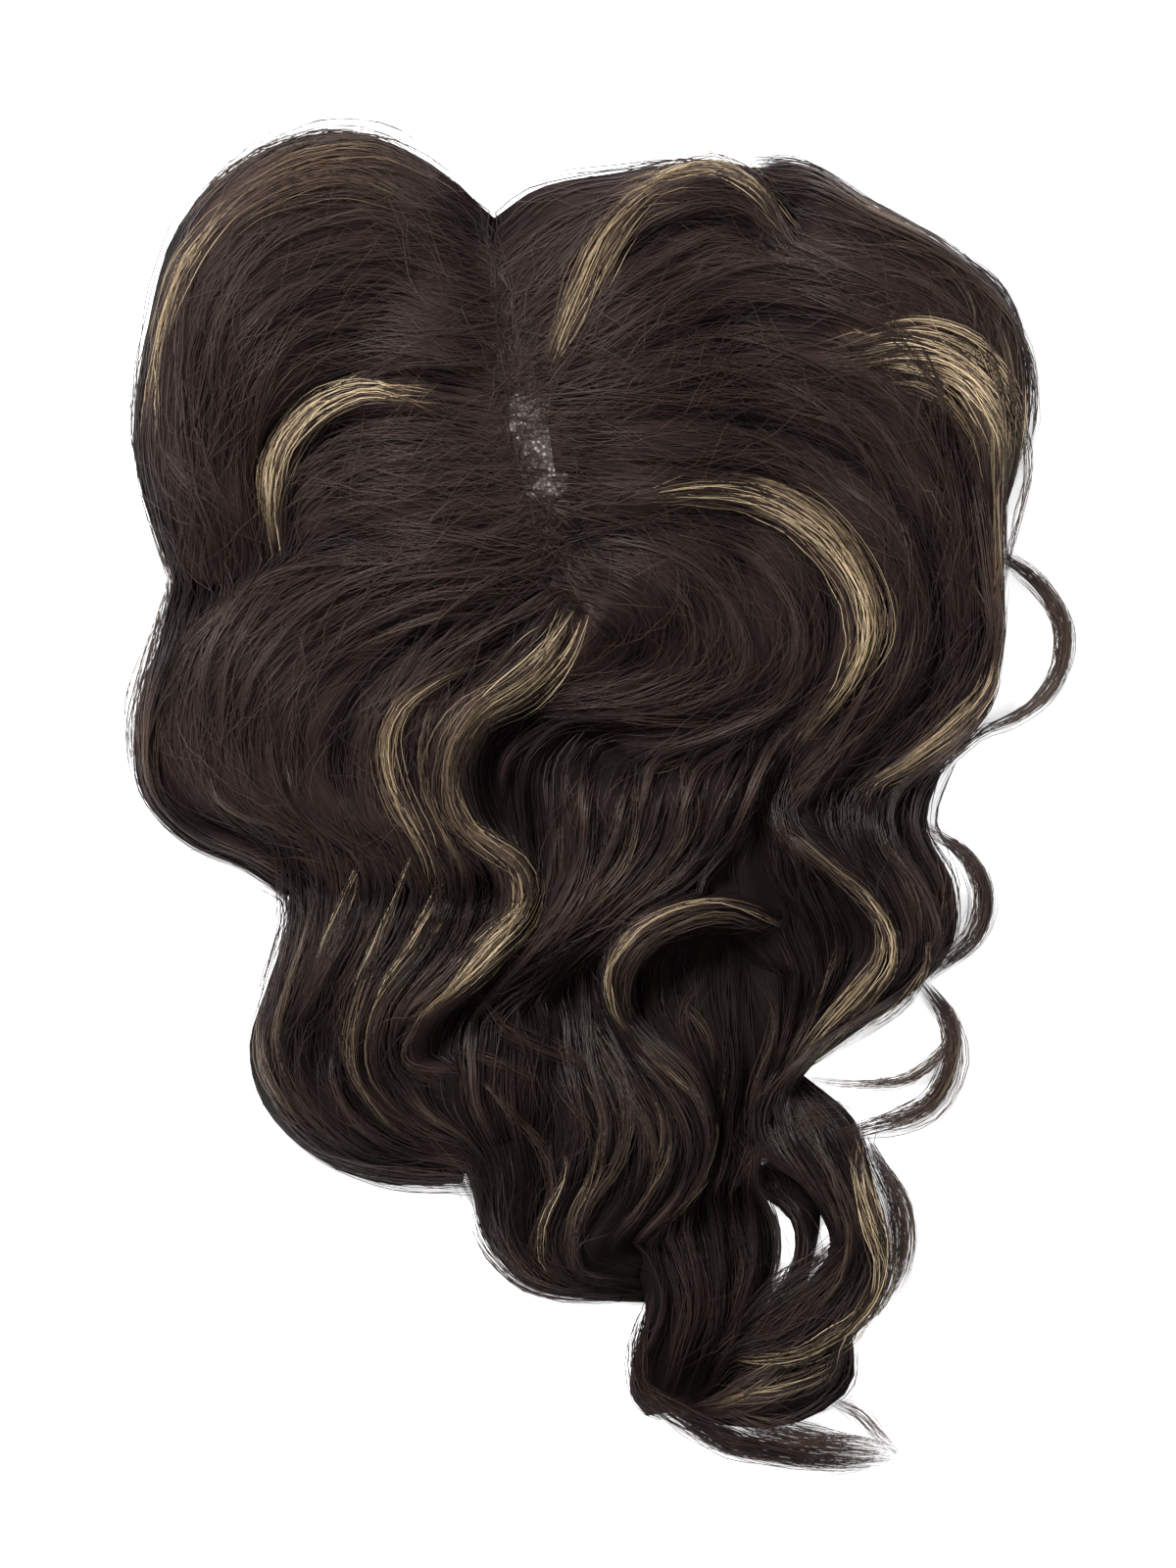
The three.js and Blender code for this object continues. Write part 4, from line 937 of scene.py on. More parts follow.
def lay_strands(field, lock, kind, count):
    """Arrays of a lock's strands of one kind, spread over tufts that are traced along the flow."""
    hair = bpy.context.scene.topper_hair
    step = (hair.crown_step if lock.rooted else hair.curl_step) / MM
    wild = (1.0 if lock.rooted else CURL_STRAY) * min(1.0, lock.width / FULL_STRAY_WIDTH)
    draw = lock.random.uniform
    cells = field.own_cells(lock)
    tufts = max(round(count * kind.share / kind.members), 1)
    seeds = cells[lock.random.integers(len(cells), size=tufts)] + draw(-0.5, 0.5, (tufts, 2))
    reach = draw(*kind.lengths, tufts)
    behind = reach * draw(*SEED_PLACES, tufts)
    turn = np.radians(draw(-kind.turn, kind.turn, tufts)) * wild
    past = draw(0, PAST_ROOT if lock.rooted else kind.past, tufts), draw(0, kind.past, tufts)
    path, heading, kept = field.comb(seeds, behind, reach - behind, step, turn, past)

    # Each strand has its place across its tuft, which is drawn in to its tip and stands up in the middle
    tuft = np.repeat(np.arange(tufts), kind.members)
    column = len(tuft), 1
    path, heading, kept = path[tuft], heading[tuft], kept[tuft]
    run = np.cumsum(kept, axis=1) * step
    left = run[:, -1:] - run
    place = np.clip(lock.random.normal(0, SCATTER, column), -1, 1)
    spread = min(kind.spread, WIDEST_TUFT * lock.width) * draw(*TUFT_WIDTHS, (tufts, 1))[tuft]
    closed = smooth_step(*TUFT_CLOSES, run / np.maximum(run[:, -1:], step))
    aside = place * spread / 2 * (1 - kind.draw_in * closed)
    crest = (1 - place**2) * smooth_step(*TUFT_RISE, run) * smooth_step(*TUFT_FALL, left)
    lift = kind.lift * draw(*TUFT_HEIGHTS, (tufts, 1))[tuft] * crest

    # Ragged ends, a few strands that run on over the parting, and the bare place left open
    kept = kept & (run > draw(*RAGGED_ROOT, column)) & (left > draw(*RAGGED_TIP, column))
    if lock.rooted:
        over_base = base_height(path[:, :-1]) > CROSSING_HEIGHT
        for share in (hair.crossing, hair.crossing / 2):
            kept[:, :-1] |= kept[:, 1:] & over_base & (draw(0, 1, column) < share)
    kept &= bareness(path) < draw(*BARE_ENDS, column)
    kept &= (kept.sum(1) > FEWEST_STEPS)[:, None]

    # Long and short waves to the side, held back where they would leave the hair's outline
    run = np.cumsum(kept, axis=1) * step
    for size, low, high in STRAND_WAVES:
        wave = run * 2 * math.pi / draw(low, high, column) + draw(0, 2 * math.pi, column)
        aside = aside + draw(*WAVE_SIZES, column) * (size * kind.sway) * wild * np.sin(wave)
    side = left_of(heading)
    astray = field.read(field.outside, path + aside[..., None] * side)
    aside = aside * (1 - HELD_BACK * smooth_step(*HELD_OVER, astray))
    path = path + aside[..., None] * side

    vary = TUFT_VARIES * draw(-1, 1, (tufts, 1))[tuft] + STRAND_VARIES * draw(-1, 1, column)
    rank = TUFT_RANK * draw(0, 1, (tufts, 1))[tuft] + STRAND_RANK * draw(0, 1, column)
    # Painted highlight where a tuft stands up, and painted shade or light by the kind's and the lock's tone
    tone = hair.base_tone + lock.tone + kind.lighter + vary * hair.tone_spread + LIFT_HIGHLIGHT * lift
    # Painted shade in the grooves and painted light on the ridges and wave crests
    groove_shade = hair.groove_shade * (1 if lock.rooted else CURL_SHADE_CONTRAST)
    tone = tone + groove_shade * field.read(field.ridge, path)
    tone = tone - hair.shade_tone * field.read(field.shade, path)
    # Painted light at the outer edge of the hair
    tone = tone + hair.rim_light * field.read(field.rim, path)
    tone = streaked(path, kept, tone, rank, step)
    depth = draw(*kind.depths, column) - lift
    return tucked_tubes(field, path, kept, step, depth, draw(*kind.widths, column), tone)


def lay_tress(field, lock, light, half_width, *way):
    """Arrays of a tress's strands, side by side along its line and woven a little, some of them brown."""
    hair = bpy.context.scene.topper_hair
    draw = lock.random.uniform
    length = way_length(way)
    step = min(hair.curl_step / MM, length / TRESS_STEPS)
    share = np.linspace(0, 1, round(length / step) + 1)
    line = rail(way, share)
    half_width *= hair.tress_width
    column = round((TRESS_FEWEST + hair.tress_strands * half_width) * lock.density), 1
    kept = (share > draw(*TRESS_STARTS, column)) & (share < draw(*TRESS_ENDS, column))
    kept &= (kept.sum(1) > FEWEST_STEPS)[:, None]
    place = np.clip(lock.random.normal(0, SCATTER, column), -TRESS_REACH, TRESS_REACH)
    aside = place * half_width * (TRESS_TAPER + (1 - TRESS_TAPER) * np.sin(math.pi * share))
    for size, low, high in TRESS_WAVES:
        aside = aside + draw(*WAVE_SIZES, column) * size * np.sin(
            share * length * 2 * math.pi / draw(low, high, column) + draw(0, 2 * math.pi, column))
    path = line + aside[..., None] * left_of(unit(np.gradient(line, axis=0)))

    # The brightest strands lighten soonest from the root, and all of them darken again at the tip
    brown = hair.base_tone + BROWN_OVER
    dull = draw(0, 1, column) < hair.tress_brown
    shine = draw(0, 1, column)
    tone = np.where(dull, brown, light * (SHINE_LOW + SHINE_RANGE * shine))
    run = np.cumsum(kept, axis=1) * step
    fade = hair.tress_fade / MM
    ends = smooth_step(FADE_ROOT, fade * (FADE_LATE - FADE_SOONER * shine), run)
    ends = ends * smooth_step(FADE_TIP, fade, run[:, -1:] - run)
    tone = np.minimum(tone, brown) + np.maximum(tone - brown, 0) * ends
    tone = tone - TRESS_SHADE * hair.shade_tone * field.read(field.shade, path)
    depth = draw(*TRESS_DEPTHS, column)
    return tucked_tubes(field, path, kept, step, depth, draw(*TRESS_WIDTHS, column), tone)


def lay_tied_hairs(field, lock, spots):
    """Arrays of short hairs tied in round the bare place, that fan out over its edge."""
    hair = bpy.context.scene.topper_hair
    draw = lock.random.uniform
    step = hair.tied_length / MM / TIED_STEPS
    count = round(len(spots) * hair.tied_per_mm2)
    seeds = spots[lock.random.integers(len(spots), size=count)] + draw(-0.5, 0.5, (count, 2))
    seeds = seeds[bareness(seeds) < draw(*TIED_BARE, count)][:, None]
    column = len(seeds), 1
    run = np.arange(TIED_POINTS) * step
    turn = np.radians(draw(*TIED_FAN, column) + draw(*TIED_BEND, column) * run)
    sign = np.where(draw(0, 1, column + (1,)) < TIED_FORWARDS, 1, -1)
    path = seeds + run[:, None] * field.way(seeds, sign, turn)
    kept = run < draw(*TIED_LENGTHS, column) * step
    root = base_height(path)
    rise = np.maximum(field.read(field.height, path) - root, 0) + draw(*TIED_RISE, column)
    level = root + TIED_CLEAR + rise * smooth_step(*TIED_RISES_OVER, run)
    thin = 1 - TIED_THINS * smooth_step(0, TIED_POINTS * step, run)
    radius = draw(*TIED_WIDTHS, column) / WIDTH_OF_RADIUS * thin
    tone = hair.base_tone + draw(*TIED_TONES, column) + 0 * run
    return strand_tubes(path, level, kept, radius, tone)


def lock_strands(field, lock):
    """Arrays of all the strands that start from one lock."""
    cells = field.own_cells(lock)
    square_centimetres = len(cells) * field.CELL**2 / 100
    count = square_centimetres * bpy.context.scene.topper_hair.strands_per_cm2 * lock.density
    laid = [lay_strands(field, lock, kind, count) for kind in (CROWN_KINDS if lock.rooted else CURL_KINDS)]
    for name, *tresses in TRESSES:
        if name == lock.name:
            laid += [lay_tress(field, lock, *tress) for tress in tresses]
    spots = cells[bare_reach(cells) < TIED_REACH]
    if len(spots):
        laid.append(lay_tied_hairs(field, lock, spots))
    made, corners = [], 0
    for points, quads, ends, uv in laid:
        made.append((points, quads + corners, ends + corners, uv))
        corners += len(points)
    return [np.concatenate(column) for column in zip(*made)]


def shape_mesh(name, shape):
    """The mesh of a finished bmesh, which is freed."""
    mesh = bpy.data.meshes.new(name)
    shape.to_mesh(mesh)
    shape.free()
    return mesh


def bed_levels(field, lock, points, floor):
    """Heights of the gathered hair's top and underside at plan points over a lock and over its floor."""
    hair = bpy.context.scene.topper_hair
    own = field.read(blurred((field.lock == lock.number).astype(float), OWN_BLUR), points)
    groove = lock.random.uniform(-1, 1, points.shape[1]) * hair.groove / MM
    level = field.read(field.height, points) - hair.bed_depth / MM
    level = level - BED_SINKS * (1 - smooth_step(*OWN_SHARE, own)) + groove
    level = np.maximum(level, floor + BED_THICK)
    opened = BED_OPENS * smooth_step(*BED_OPEN_FROM, bareness(points))
    level = level - opened * (level - floor + 1)
    floor = np.minimum(floor, level - BED_THICK)
    ends = [-1] if lock.rooted else [0, -1]
    level[ends] = floor[ends] + BED_END
    return level, floor


def lock_bed(field, lock):
    """The gathered hair under a lock's strands: a grooved sheet, closed down to what it lies on."""
    hair = bpy.context.scene.topper_hair
    inset = np.array(lock.fringe) / lock.width
    if inset.sum() > BED_FRINGE:
        return None
    inset[inset == 0] = -hair.bed_overlap / MM / lock.width
    rows = max(int(lock.length / (hair.bed_row / MM)), BED_FEWEST)
    columns = max(int(lock.width / (hair.bed_column / MM)), BED_FEWEST)
    across = np.linspace(inset[0], 1 - inset[1], columns + 1)
    along = np.linspace(0, 1, rows + 1)
    if lock.rooted:
        fine = np.linspace(0, along[ROOT_ROWS], FINE_ROWS + 1)
        along = np.concatenate((fine[:-1], along[ROOT_ROWS:]))
        rows = len(along) - 1
    points, _, _ = lock.patch(along, across)
    points[0] -= hair.root_reach / MM * unit(points[1] - points[0])
    floor = base_height(points) + BED_CLEAR
    past = (field.read(field.outside, points) > BED_PAST) & (floor <= BED_ON_BASE)
    level, floor = bed_levels(field, lock, points, floor)
    # Painted shade under the strands and in hollows
    tone = hair.base_tone + lock.tone - BED_SHADE - hair.shade_tone * field.read(field.shade, points)
    for light, half_width, way in wide_tresses(points):
        tone = tone + BED_TRESS * (light - tone) * tress_depth(points, half_width, way)
    bed = bmesh.new()
    maps = [bed.loops.layers.uv.new(layer) for layer in STRAND_MAPS]
    tones = bed.verts.layers.float.new("tone")
    bmesh.ops.create_grid(bed, x_segments=columns, y_segments=rows, size=0.5)

    def cell(vertex):
        return round((vertex.co.y + 0.5) * rows), round((vertex.co.x + 0.5) * columns)

    beyond = [face for face in bed.faces if any(past[cell(vertex)] for vertex in face.verts)]
    bmesh.ops.delete(bed, geom=beyond, context="FACES")
    upper = bed.verts[:]
    bmesh.ops.extrude_face_region(bed, geom=bed.faces[:], use_keep_orig=True)
    spots = {vertex: (*cell(vertex), floor) for vertex in bed.verts}
    spots.update({vertex: (*cell(vertex), level) for vertex in upper})
    for vertex, (i, j, heights) in spots.items():
        vertex.co = (*(points[i, j] + TABLE_SHIFT) * MM, heights[i, j] * MM)
        vertex[tones] = tone[i, j]
    for face in bed.faces:
        face.smooth = True
        for loop in face.loops:
            i, j, heights = spots[loop.vert]
            aside = across[j] * lock.width + math.copysign(level[i, j] - heights[i, j], j - columns / 2)
            for layer in maps:
                loop[layer].uv = along[i] * lock.length / BED_ALONG, BED_START + aside / BED_ACROSS
    bmesh.ops.recalc_face_normals(bed, faces=bed.faces[:])
    return shape_mesh(lock.name + "_bed", bed)


class Value:
    """A shader socket that takes part in sums: each operator adds a Math node."""

    def __init__(self, finish, socket):
        self.finish = finish
        self.socket = socket

    def sum(self, operation, first, second):
        return self.finish.node("ShaderNodeMath", {"operation": operation}, {0: first, 1: second})

    def __add__(self, other):
        return self.sum("ADD", self, other)

    def __radd__(self, other):
        return self.sum("ADD", other, self)

    def __sub__(self, other):
        return self.sum("SUBTRACT", self, other)

    def __rsub__(self, other):
        return self.sum("SUBTRACT", other, self)

    def __mul__(self, other):
        return self.sum("MULTIPLY", self, other)

    def __rmul__(self, other):
        return self.sum("MULTIPLY", other, self)


class Finish:
    """A material whose nodes are added one call at a time."""

    def __init__(self, name):
        self.material = bpy.data.materials.new(name)
        self.material.use_nodes = True
        self.tree = self.material.node_tree

    def node(self, kind, settings, sockets, output=0):
        """Adds a node, with its settings first and then the values or links of its sockets."""
        made = self.tree.nodes.new(kind)
        for name, setting in settings.items():
            if name == "stops":
                ramp = made.color_ramp.elements
                while len(ramp) < len(setting):
                    ramp.new(1.0)
                for stop, (place, colour) in zip(ramp, setting):
                    stop.position = place
                    stop.color = (*colour, 1.0)
            else:
                setattr(made, name, setting)
        self.feed(made, sockets)
        return Value(self, made.outputs[output])

    def feed(self, node, sockets):
        """Gives a node's sockets their links, colours or plain values."""
        for name, given in sockets.items():
            socket = node.inputs[name]
            if isinstance(given, Value):
                self.tree.links.new(given.socket, socket)
            else:
                socket.default_value = (*given, 1.0) if socket.type == "RGBA" else given

    def mix(self, share, first, second):
        """A colour between two others."""
        return self.node("ShaderNodeMix", {"data_type": "RGBA"}, {0: share, 6: first, 7: second}, 2)

    def stretched_noise(self, place, scale, sockets):
        """Noise that is drawn out along one side of a map."""
        stretch = self.node("ShaderNodeMapping", {}, {"Vector": place, "Scale": scale})
        return self.node("ShaderNodeTexNoise", {}, {"Vector": stretch, "Scale": 1.0, **sockets})

    def surface(self, sockets):
        """The material, with its surface's sockets fed."""
        self.feed(self.tree.nodes["Principled BSDF"], sockets)
        return self.material


def hair_stops():
    """Ramp from dark brown to pale blond."""
    colours = bpy.context.scene.topper_colours
    return ((0.0, colours.shade), (0.22, colours.brown), (0.45, colours.warm), (0.62, colours.dark_blond),
            (0.82, colours.blond), (1.0, colours.pale))


def strand_finish(name, roughness, gloss):
    """Single strands coloured by their band of the strand map: its height is the tone."""
    finish = Finish(name)
    strand = finish.node("ShaderNodeUVMap", {"uv_map": STRAND_MAPS[0]}, {})
    tone = finish.node("ShaderNodeSeparateXYZ", {}, {0: strand}, 1)
    grain = finish.stretched_noise(strand, (9.0, 600.0, 1.0), {"Detail": 2.0})
    shown = tone * (1 / TONE_BAND) + (grain - 0.5) * 0.1
    return finish.surface({
        "Base Color": finish.node("ShaderNodeValToRGB", {"stops": hair_stops()}, {0: shown}),
        "Roughness": roughness + grain * 0.16,
        "Specular IOR Level": gloss,
        "Specular Tint": bpy.context.scene.topper_colours.sheen,
    })


def bed_finish():
    """Gathered hair: fine combed lines in its colour and its relief."""
    finish = Finish("gathered_hair")
    strand = finish.node("ShaderNodeUVMap", {"uv_map": STRAND_MAPS[0]}, {})
    lines = finish.stretched_noise(strand, (18.0, 440.0, 1.0), {"Detail": 4.0, "Roughness": 0.6})
    tone = finish.node("ShaderNodeAttribute", {"attribute_name": "tone"}, {}, 2)
    shown = tone + (lines - 0.5) * 0.35
    return finish.surface({
        "Base Color": finish.node("ShaderNodeValToRGB", {"stops": hair_stops()}, {0: shown}),
        "Roughness": 0.6 + lines * 0.2,
        "Specular IOR Level": 0.05,
        "Normal": finish.node("ShaderNodeBump", {}, {"Strength": 0.8, "Distance": 0.0006, "Height": lines}),
    })


def lace_finish():
    """Fine net with knots where the hair is tied in."""
    colours = bpy.context.scene.topper_colours
    finish = Finish("lace_net")
    place = finish.node("ShaderNodeTexCoord", {}, {}, 3)
    marks = []
    for feature, scale, randomness, reach in (
        ("DISTANCE_TO_EDGE", 900.0, 0.35, 0.16),
        ("F1", 620.0, 0.8, 0.42),
    ):
        distance = finish.node("ShaderNodeTexVoronoi", {"feature": feature},
                               {"Vector": place, "Scale": scale, "Randomness": randomness})
        stops = (0.0, (1, 1, 1)), (reach, (0, 0, 0))
        marks.append(finish.node("ShaderNodeValToRGB", {"stops": stops}, {0: distance}))
    threads, knots = marks
    return finish.surface({
        "Base Color": finish.mix(knots, finish.mix(threads, colours.lace_hole, colours.lace), colours.knot),
        "Roughness": 0.7,
        "Normal": finish.node("ShaderNodeBump", {}, {"Strength": 0.5, "Distance": 0.0004, "Height": threads}),
    })


def clip_finish():
    """Dark lacquer on spring steel, rubbed a little."""
    colours = bpy.context.scene.topper_colours
    finish = Finish("clip_lacquer")
    place = finish.node("ShaderNodeTexCoord", {}, {}, 3)
    wear = finish.node("ShaderNodeTexNoise", {}, {"Vector": place, "Scale": 260.0, "Detail": 4.0})
    return finish.surface({
        "Base Color": finish.mix(wear, colours.clip, colours.clip_rub),
        "Roughness": 0.28 + wear * 0.2,
        "Metallic": 0.4,
    })


def floor_finish():
    """Matt pale paper."""
    stage = bpy.context.scene.topper_stage
    finish = Finish("pale_paper")
    place = finish.node("ShaderNodeTexCoord", {}, {}, 3)
    fibre = finish.node("ShaderNodeTexNoise", {}, {"Vector": place, "Scale": 40.0, "Detail": 3.0})
    return finish.surface({
        "Base Color": stage.floor_colour,
        "Roughness": 0.8 + fibre * 0.1,
        "Emission Color": (1, 1, 1),
        "Emission Strength": stage.floor_glow,
    })


def put_in_scene(name, mesh, finish):
    """An object of the mesh, at the origin, with its finish."""
    piece = bpy.data.objects.new(name, mesh)
    bpy.context.scene.collection.objects.link(piece)
    mesh.materials.clear()
    mesh.materials.append(finish)
    return piece


def strand_look(lock):
    """The finish of a lock's strands: of the crown, of a hollow, dulled as painted shade, or of the curls."""
    name = "crown_strands" if lock.rooted else "hollow_strands" if lock.tone < HOLLOW_TONE else "curl_strands"
    return bpy.data.materials.get(name) or strand_finish(name, *STRAND_LOOKS[name])


def comb_pieces(wanted):
    """Makes the piece of each wanted lock: its bed and its strands, joined."""
    field = hair_field()
    bed_look = bpy.data.materials.get("gathered_hair") or bed_finish()
    for lock in filter(wanted, field.locks):
        strands = array_mesh(lock.name + "_strands", *lock_strands(field, lock))
        piece = put_in_scene(lock.name + "_hair", strands, strand_look(lock))
        bed = lock_bed(field, lock)
        if bed:
            under = put_in_scene(lock.name + "_bed", bed, bed_look)
            with bpy.context.temp_override(active_object=piece, selected_editable_objects=[piece, under]):
                bpy.ops.object.join()
        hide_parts(lock.name)
        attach(piece, "root")


def number_property(name, description, default, **settings):
    """A number that a user may change."""
    return FloatProperty(name=name, description=description, default=default, **settings)


def length_property(name, description, default):
    """A length in metres that a user may change."""
    return number_property(name, description, default, unit="LENGTH")


def share_property(name, description, default):
    """A share or a tone that a user may change."""
    return number_property(name, description, default, subtype="FACTOR")


def colour_property(name, description, default):
    """A colour that a user may change."""
    return FloatVectorProperty(
        name=name, description=description, default=default, subtype="COLOR", min=0, max=1)


class TopperHair(PropertyGroup):
    """How the hair is combed"""

    strands_per_cm2: number_property(
        "Strands per Square Centimetre", "Strands over each square centimetre", 9.0, min=0.5)
    crown_step: length_property("Crown Step", "Straight piece of a strand of the crown", 0.0062)
    curl_step: length_property("Curl Step", "Straight piece of a strand of the curls", 0.0048)
    tress_strands: number_property("Tress Strands", "Strands to a millimetre of a tress's half width", 10.2)
    tress_width: number_property("Tress Width", "Width of the tresses as a share of the tabled width", 1.5)
    tress_brown: share_property("Tress Brown", "Share of brown strands in a tress", 0.24)
    tress_fade: length_property("Tress Fade", "Length over which a light strand lightens", 0.018)
    tied_length: length_property("Tied Length", "Length of the short hairs round the bare place", 0.012)
    tied_per_mm2: number_property("Tied Hairs", "Short hairs to a square millimetre by the bare place", 0.8)
    root_reach: length_property("Root Reach", "How far the gathered hair reaches back past its roots", 0.004)
    crossing: share_property("Crossing", "Share of the strands that cross the parting a little way", 0.8)
    ridge_pitch: length_property("Ridge Pitch", "Distance between ridges of gathered hair", 0.008)
    ridge_height: length_property("Ridge Height", "Height of the ridges of the crown", 0.0013)
    curl_ridge_height: length_property("Curl Ridge Height", "Height of the ridges of the curls", 0.0028)
    swell: length_property("Swell", "How far a lock rises and falls along its length", 0.0014)
    bed_depth: length_property("Bed Depth", "How far the gathered hair lies below the top strands", 0.0022)
    bed_overlap: length_property("Bed Overlap", "How far gathered hair reaches under its neighbours", 0.004)
    bed_row: length_property("Bed Row", "Length of a face of the gathered hair", 0.005)
    bed_column: length_property("Bed Column", "Width of a face of the gathered hair", 0.0015)
    groove: length_property("Groove", "Depth of the grooves in the gathered hair", 0.0003)
    sharpest_turn_degrees: IntProperty(
        name="Sharpest Turn", description="Turn in one step past which a strand ends, in degrees", default=40)
    base_tone: share_property("Base Tone", "Tone of most strands, from dark brown to pale blond at 1", 0.22)
    tone_spread: share_property("Tone Spread", "How much the strands differ in tone", 0.06)
    # Painted shade in the grooves and painted light on the ridges, and on the wave crests of the curls
    groove_shade: share_property("Groove Tone", "How much darker hair is in a groove than on a ridge", 0.04)
    # Painted light at the outer edge of the hair
    rim_light: share_property("Rim Tone", "How much lighter the hair is at the outer edge", 0.13)
    shade_tone: share_property("Shade Tone", "How much darker the hair is in a hollow", 0.15)


class TopperColours(PropertyGroup):
    """Colours of the hair, the lace and the clips"""

    shade: colour_property("Shade", "Darkest brown strands", (0.0055, 0.0034, 0.0032))
    brown: colour_property("Brown", "Most of the hair", (0.028, 0.0165, 0.0155))
    warm: colour_property("Warm Brown", "Lighter brown strands", (0.072, 0.047, 0.036))
    dark_blond: colour_property("Dark Blond", "Edges of the streaks", (0.19, 0.135, 0.08))
    blond: colour_property("Blond", "Middle of the streaks", (0.46, 0.35, 0.21))
    pale: colour_property("Pale Blond", "Brightest strands", (0.78, 0.62, 0.40))
    sheen: colour_property("Sheen", "Tint of the gloss on the strands", (1.0, 0.88, 0.8))
    lace: colour_property("Lace", "Threads of the net", (0.085, 0.066, 0.058))
    lace_hole: colour_property("Lace Hole", "Openings of the net", (0.035, 0.024, 0.021))
    knot: colour_property("Knot", "Knots where hair is tied in", (0.46, 0.40, 0.36))
    clip: colour_property("Clip", "Lacquer of the clips", (0.030, 0.020, 0.016))
    clip_rub: colour_property("Clip Rub", "Rubbed lacquer", (0.075, 0.055, 0.045))


class TopperStage(PropertyGroup):
    """Camera, floor and lights"""

    camera_height: length_property("Camera Height", "Height of the camera over the floor", 3.0)
    frame_length: length_property("Frame Length", "Length of floor in the picture", 0.48)
    frame_shift: FloatVectorProperty(
        name="Frame Middle", description="Middle of the picture from the middle of the hair tables", size=2,
        default=(-0.0045, 0.0045), unit="LENGTH")
    floor_side: length_property("Floor Side", "Length of the floor's side", 6.0)
    floor_colour: colour_property("Floor", "Colour of the floor", (0.86, 0.86, 0.86))
    floor_glow: number_property("Floor Glow", "Light that the floor gives off", 0.6)
    key_power: number_property("Key Power", "Power of the main light", 38.0, unit="POWER")
    fill_power: number_property("Fill Power", "Power of the second light", 9.0, unit="POWER")
    sky: number_property("Sky", "Strength of the even light all round", 0.37)


class TOPPER_OT_set_stage(Operator):
    """Lay the pale floor and place the camera and the soft lights"""

    bl_idname = "topper.set_stage"
    bl_label = "Set Stage"

    def execute(self, context):
        scene = context.scene
        stage = scene.topper_stage
        paper = bmesh.new()
        bmesh.ops.create_grid(paper, x_segments=1, y_segments=1, size=stage.floor_side / 2)
        mesh = shape_mesh("floor", paper)
        put_in_scene("floor", mesh, floor_finish())

        middle = Vector((*(TABLE_SHIFT * MM + np.array(stage.frame_shift)), 0.0))
        camera = bpy.data.cameras.new("camera")
        camera.sensor_fit = "VERTICAL"
        camera.angle = 2 * math.atan(stage.frame_length / 2 / stage.camera_height)
        viewer = bpy.data.objects.new("camera", camera)
        viewer.location = middle + Vector((0, 0, stage.camera_height))
        scene.collection.objects.link(viewer)
        scene.camera = viewer

        # Lights by their place from the middle and the length of their side, in metres
        for name, place, side, power in (
            ("key_light", (-0.62, 0.72, 0.95), 0.45, stage.key_power),
            ("fill_light", (0.95, -0.4, 1.2), 0.9, stage.fill_power),
        ):
            light = bpy.data.lights.new(name, "AREA")
            light.energy = power
            light.size = side
            lamp = bpy.data.objects.new(name, light)
            lamp.location = middle + Vector(place)
            lamp.rotation_euler = (-Vector(place)).to_track_quat("-Z", "Y").to_euler()
            scene.collection.objects.link(lamp)

        world = bpy.data.worlds.new("even_light")
        world.use_nodes = True
        sky = world.node_tree.nodes["Background"]
        sky.inputs["Color"].default_value = (1, 1, 1, 1)
        sky.inputs["Strength"].default_value = stage.sky
        scene.world = world
        scene.view_settings.view_transform = "Standard"
        return {"FINISHED"}


def cut_below(shape, depth):
    """Cuts away what lies below a height in millimetres, and gives the edges of the cut."""
    cut = bmesh.ops.bisect_plane(shape, geom=shape.verts[:] + shape.edges[:] + shape.faces[:],
                                 plane_co=(0, 0, depth * MM), plane_no=(0, 0, 1), clear_inner=True)
    return [edge for edge in cut["geom_cut"] if isinstance(edge, bmesh.types.BMEdge)]


class TOPPER_OT_lay_lace_base(Operator):
    """Make the shallow oval net that the hair is tied into"""

    bl_idname = "topper.lay_lace_base"
    bl_label = "Lay Lace Base"

    def execute(self, context):
        net = bmesh.new()
        bmesh.ops.create_uvsphere(net, u_segments=NET_STEPS, v_segments=NET_STEPS, radius=CAP_RADIUS * MM)
        cut_below(net, CAP_DEPTH - BASE_WALL * 2)
        bmesh.ops.recalc_face_normals(net, faces=net.faces[:])
        bmesh.ops.solidify(net, geom=net.faces[:], thickness=BASE_WALL * MM)
        bmesh.ops.bridge_loops(net, edges=cut_below(net, CAP_DEPTH))
        bmesh.ops.recalc_face_normals(net, faces=net.faces[:])
        middle = (BASE_MIDDLE + TABLE_SHIFT) * MM
        stretch = Matrix.Diagonal((1, STRETCH, 1, 1)) @ Matrix.Translation((0, 0, -CAP_DEPTH * MM))
        bmesh.ops.transform(net, verts=net.verts[:], matrix=Matrix.Translation((*middle, 0)) @ stretch)
        for face in net.faces:
            face.smooth = True
        piece = put_in_scene("lace_base_net", shape_mesh("lace_base_net", net), lace_finish())
        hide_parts("lace_base")
        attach(piece, "root")
        return {"FINISHED"}


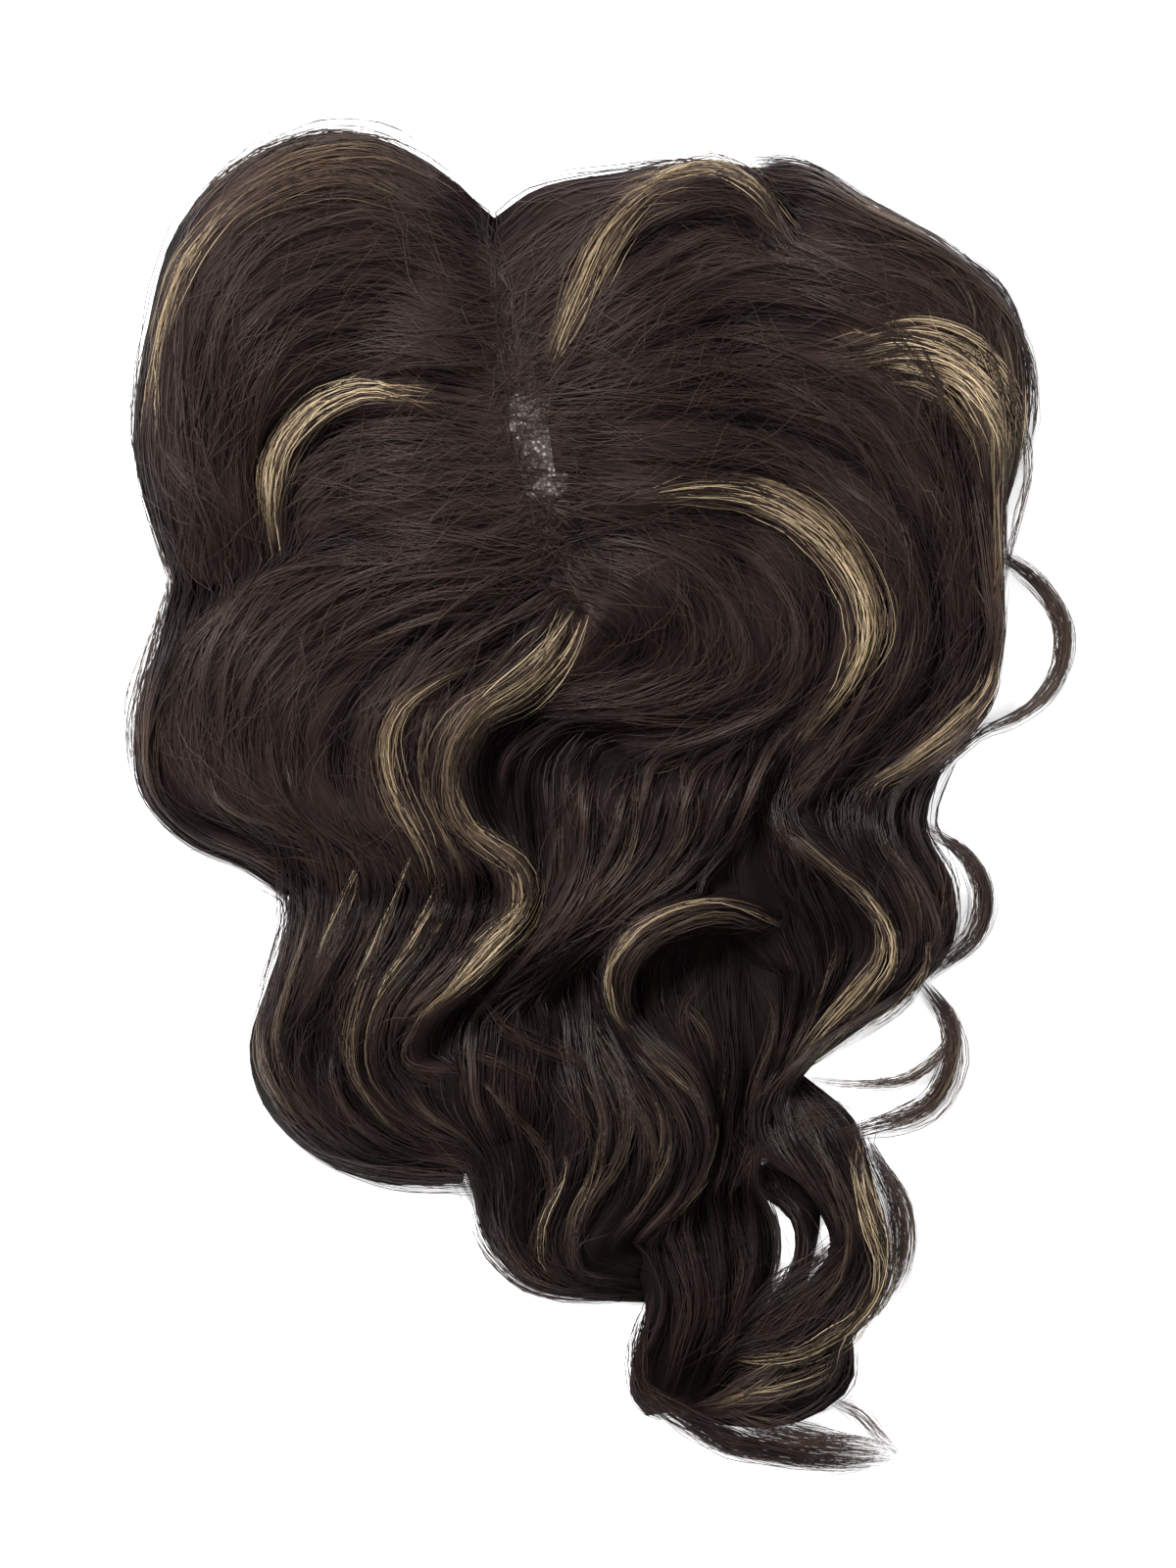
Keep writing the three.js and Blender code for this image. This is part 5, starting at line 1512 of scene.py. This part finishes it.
class TOPPER_OT_finish_clips(Operator):
    """Lacquer the snap clips under the base"""

    bl_idname = "topper.finish_clips"
    bl_label = "Finish Clips"

    def execute(self, context):
        lacquer = clip_finish()
        for name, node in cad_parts.items():
            if name.startswith("clip_"):
                node.data.materials.clear()
                node.data.materials.append(lacquer)
        return {"FINISHED"}


class TOPPER_OT_comb_locks(Operator):
    """Comb the locks, from the parting and the whorl to their tips"""

    bl_idname = "topper.comb_locks"
    bl_label = "Comb Locks"

    def execute(self, context):
        comb_pieces(lambda lock: not lock.name.startswith("wisp"))
        return {"FINISHED"}


class TOPPER_OT_comb_wisps(Operator):
    """Comb the loose wisps at the right edge"""

    bl_idname = "topper.comb_wisps"
    bl_label = "Comb Wisps"

    def execute(self, context):
        comb_pieces(lambda lock: lock.name.startswith("wisp"))
        return {"FINISHED"}


STEPS = (TOPPER_OT_set_stage, TOPPER_OT_lay_lace_base, TOPPER_OT_finish_clips, TOPPER_OT_comb_locks,
         TOPPER_OT_comb_wisps)


class TOPPER_PT_panel(Panel):
    """Lists the steps that make the topper"""

    bl_label = "Hair Topper"
    bl_idname = "TOPPER_PT_panel"
    bl_space_type = "VIEW_3D"
    bl_region_type = "UI"
    bl_category = "Topper"

    def draw(self, context):
        for step in STEPS:
            self.layout.operator(step.bl_idname)
        for settings in (context.scene.topper_hair, context.scene.topper_colours, context.scene.topper_stage):
            for name in settings.__annotations__:
                self.layout.prop(settings, name)


GROUPS = {"topper_hair": TopperHair, "topper_colours": TopperColours, "topper_stage": TopperStage}


def register():
    for group in GROUPS.values():
        bpy.utils.register_class(group)
    for name, group in GROUPS.items():
        setattr(bpy.types.Scene, name, PointerProperty(type=group))
    for step in STEPS:
        bpy.utils.register_class(step)
    bpy.utils.register_class(TOPPER_PT_panel)


def unregister():
    bpy.utils.unregister_class(TOPPER_PT_panel)
    for step in reversed(STEPS):
        bpy.utils.unregister_class(step)
    for name, group in GROUPS.items():
        delattr(bpy.types.Scene, name)
        bpy.utils.unregister_class(group)


def main():
    register()
    bpy.ops.topper.set_stage()
    bpy.ops.topper.lay_lace_base()
    bpy.ops.topper.finish_clips()
    bpy.ops.topper.comb_locks()
    bpy.ops.topper.comb_wisps()


if __name__ == "__main__":
    main()
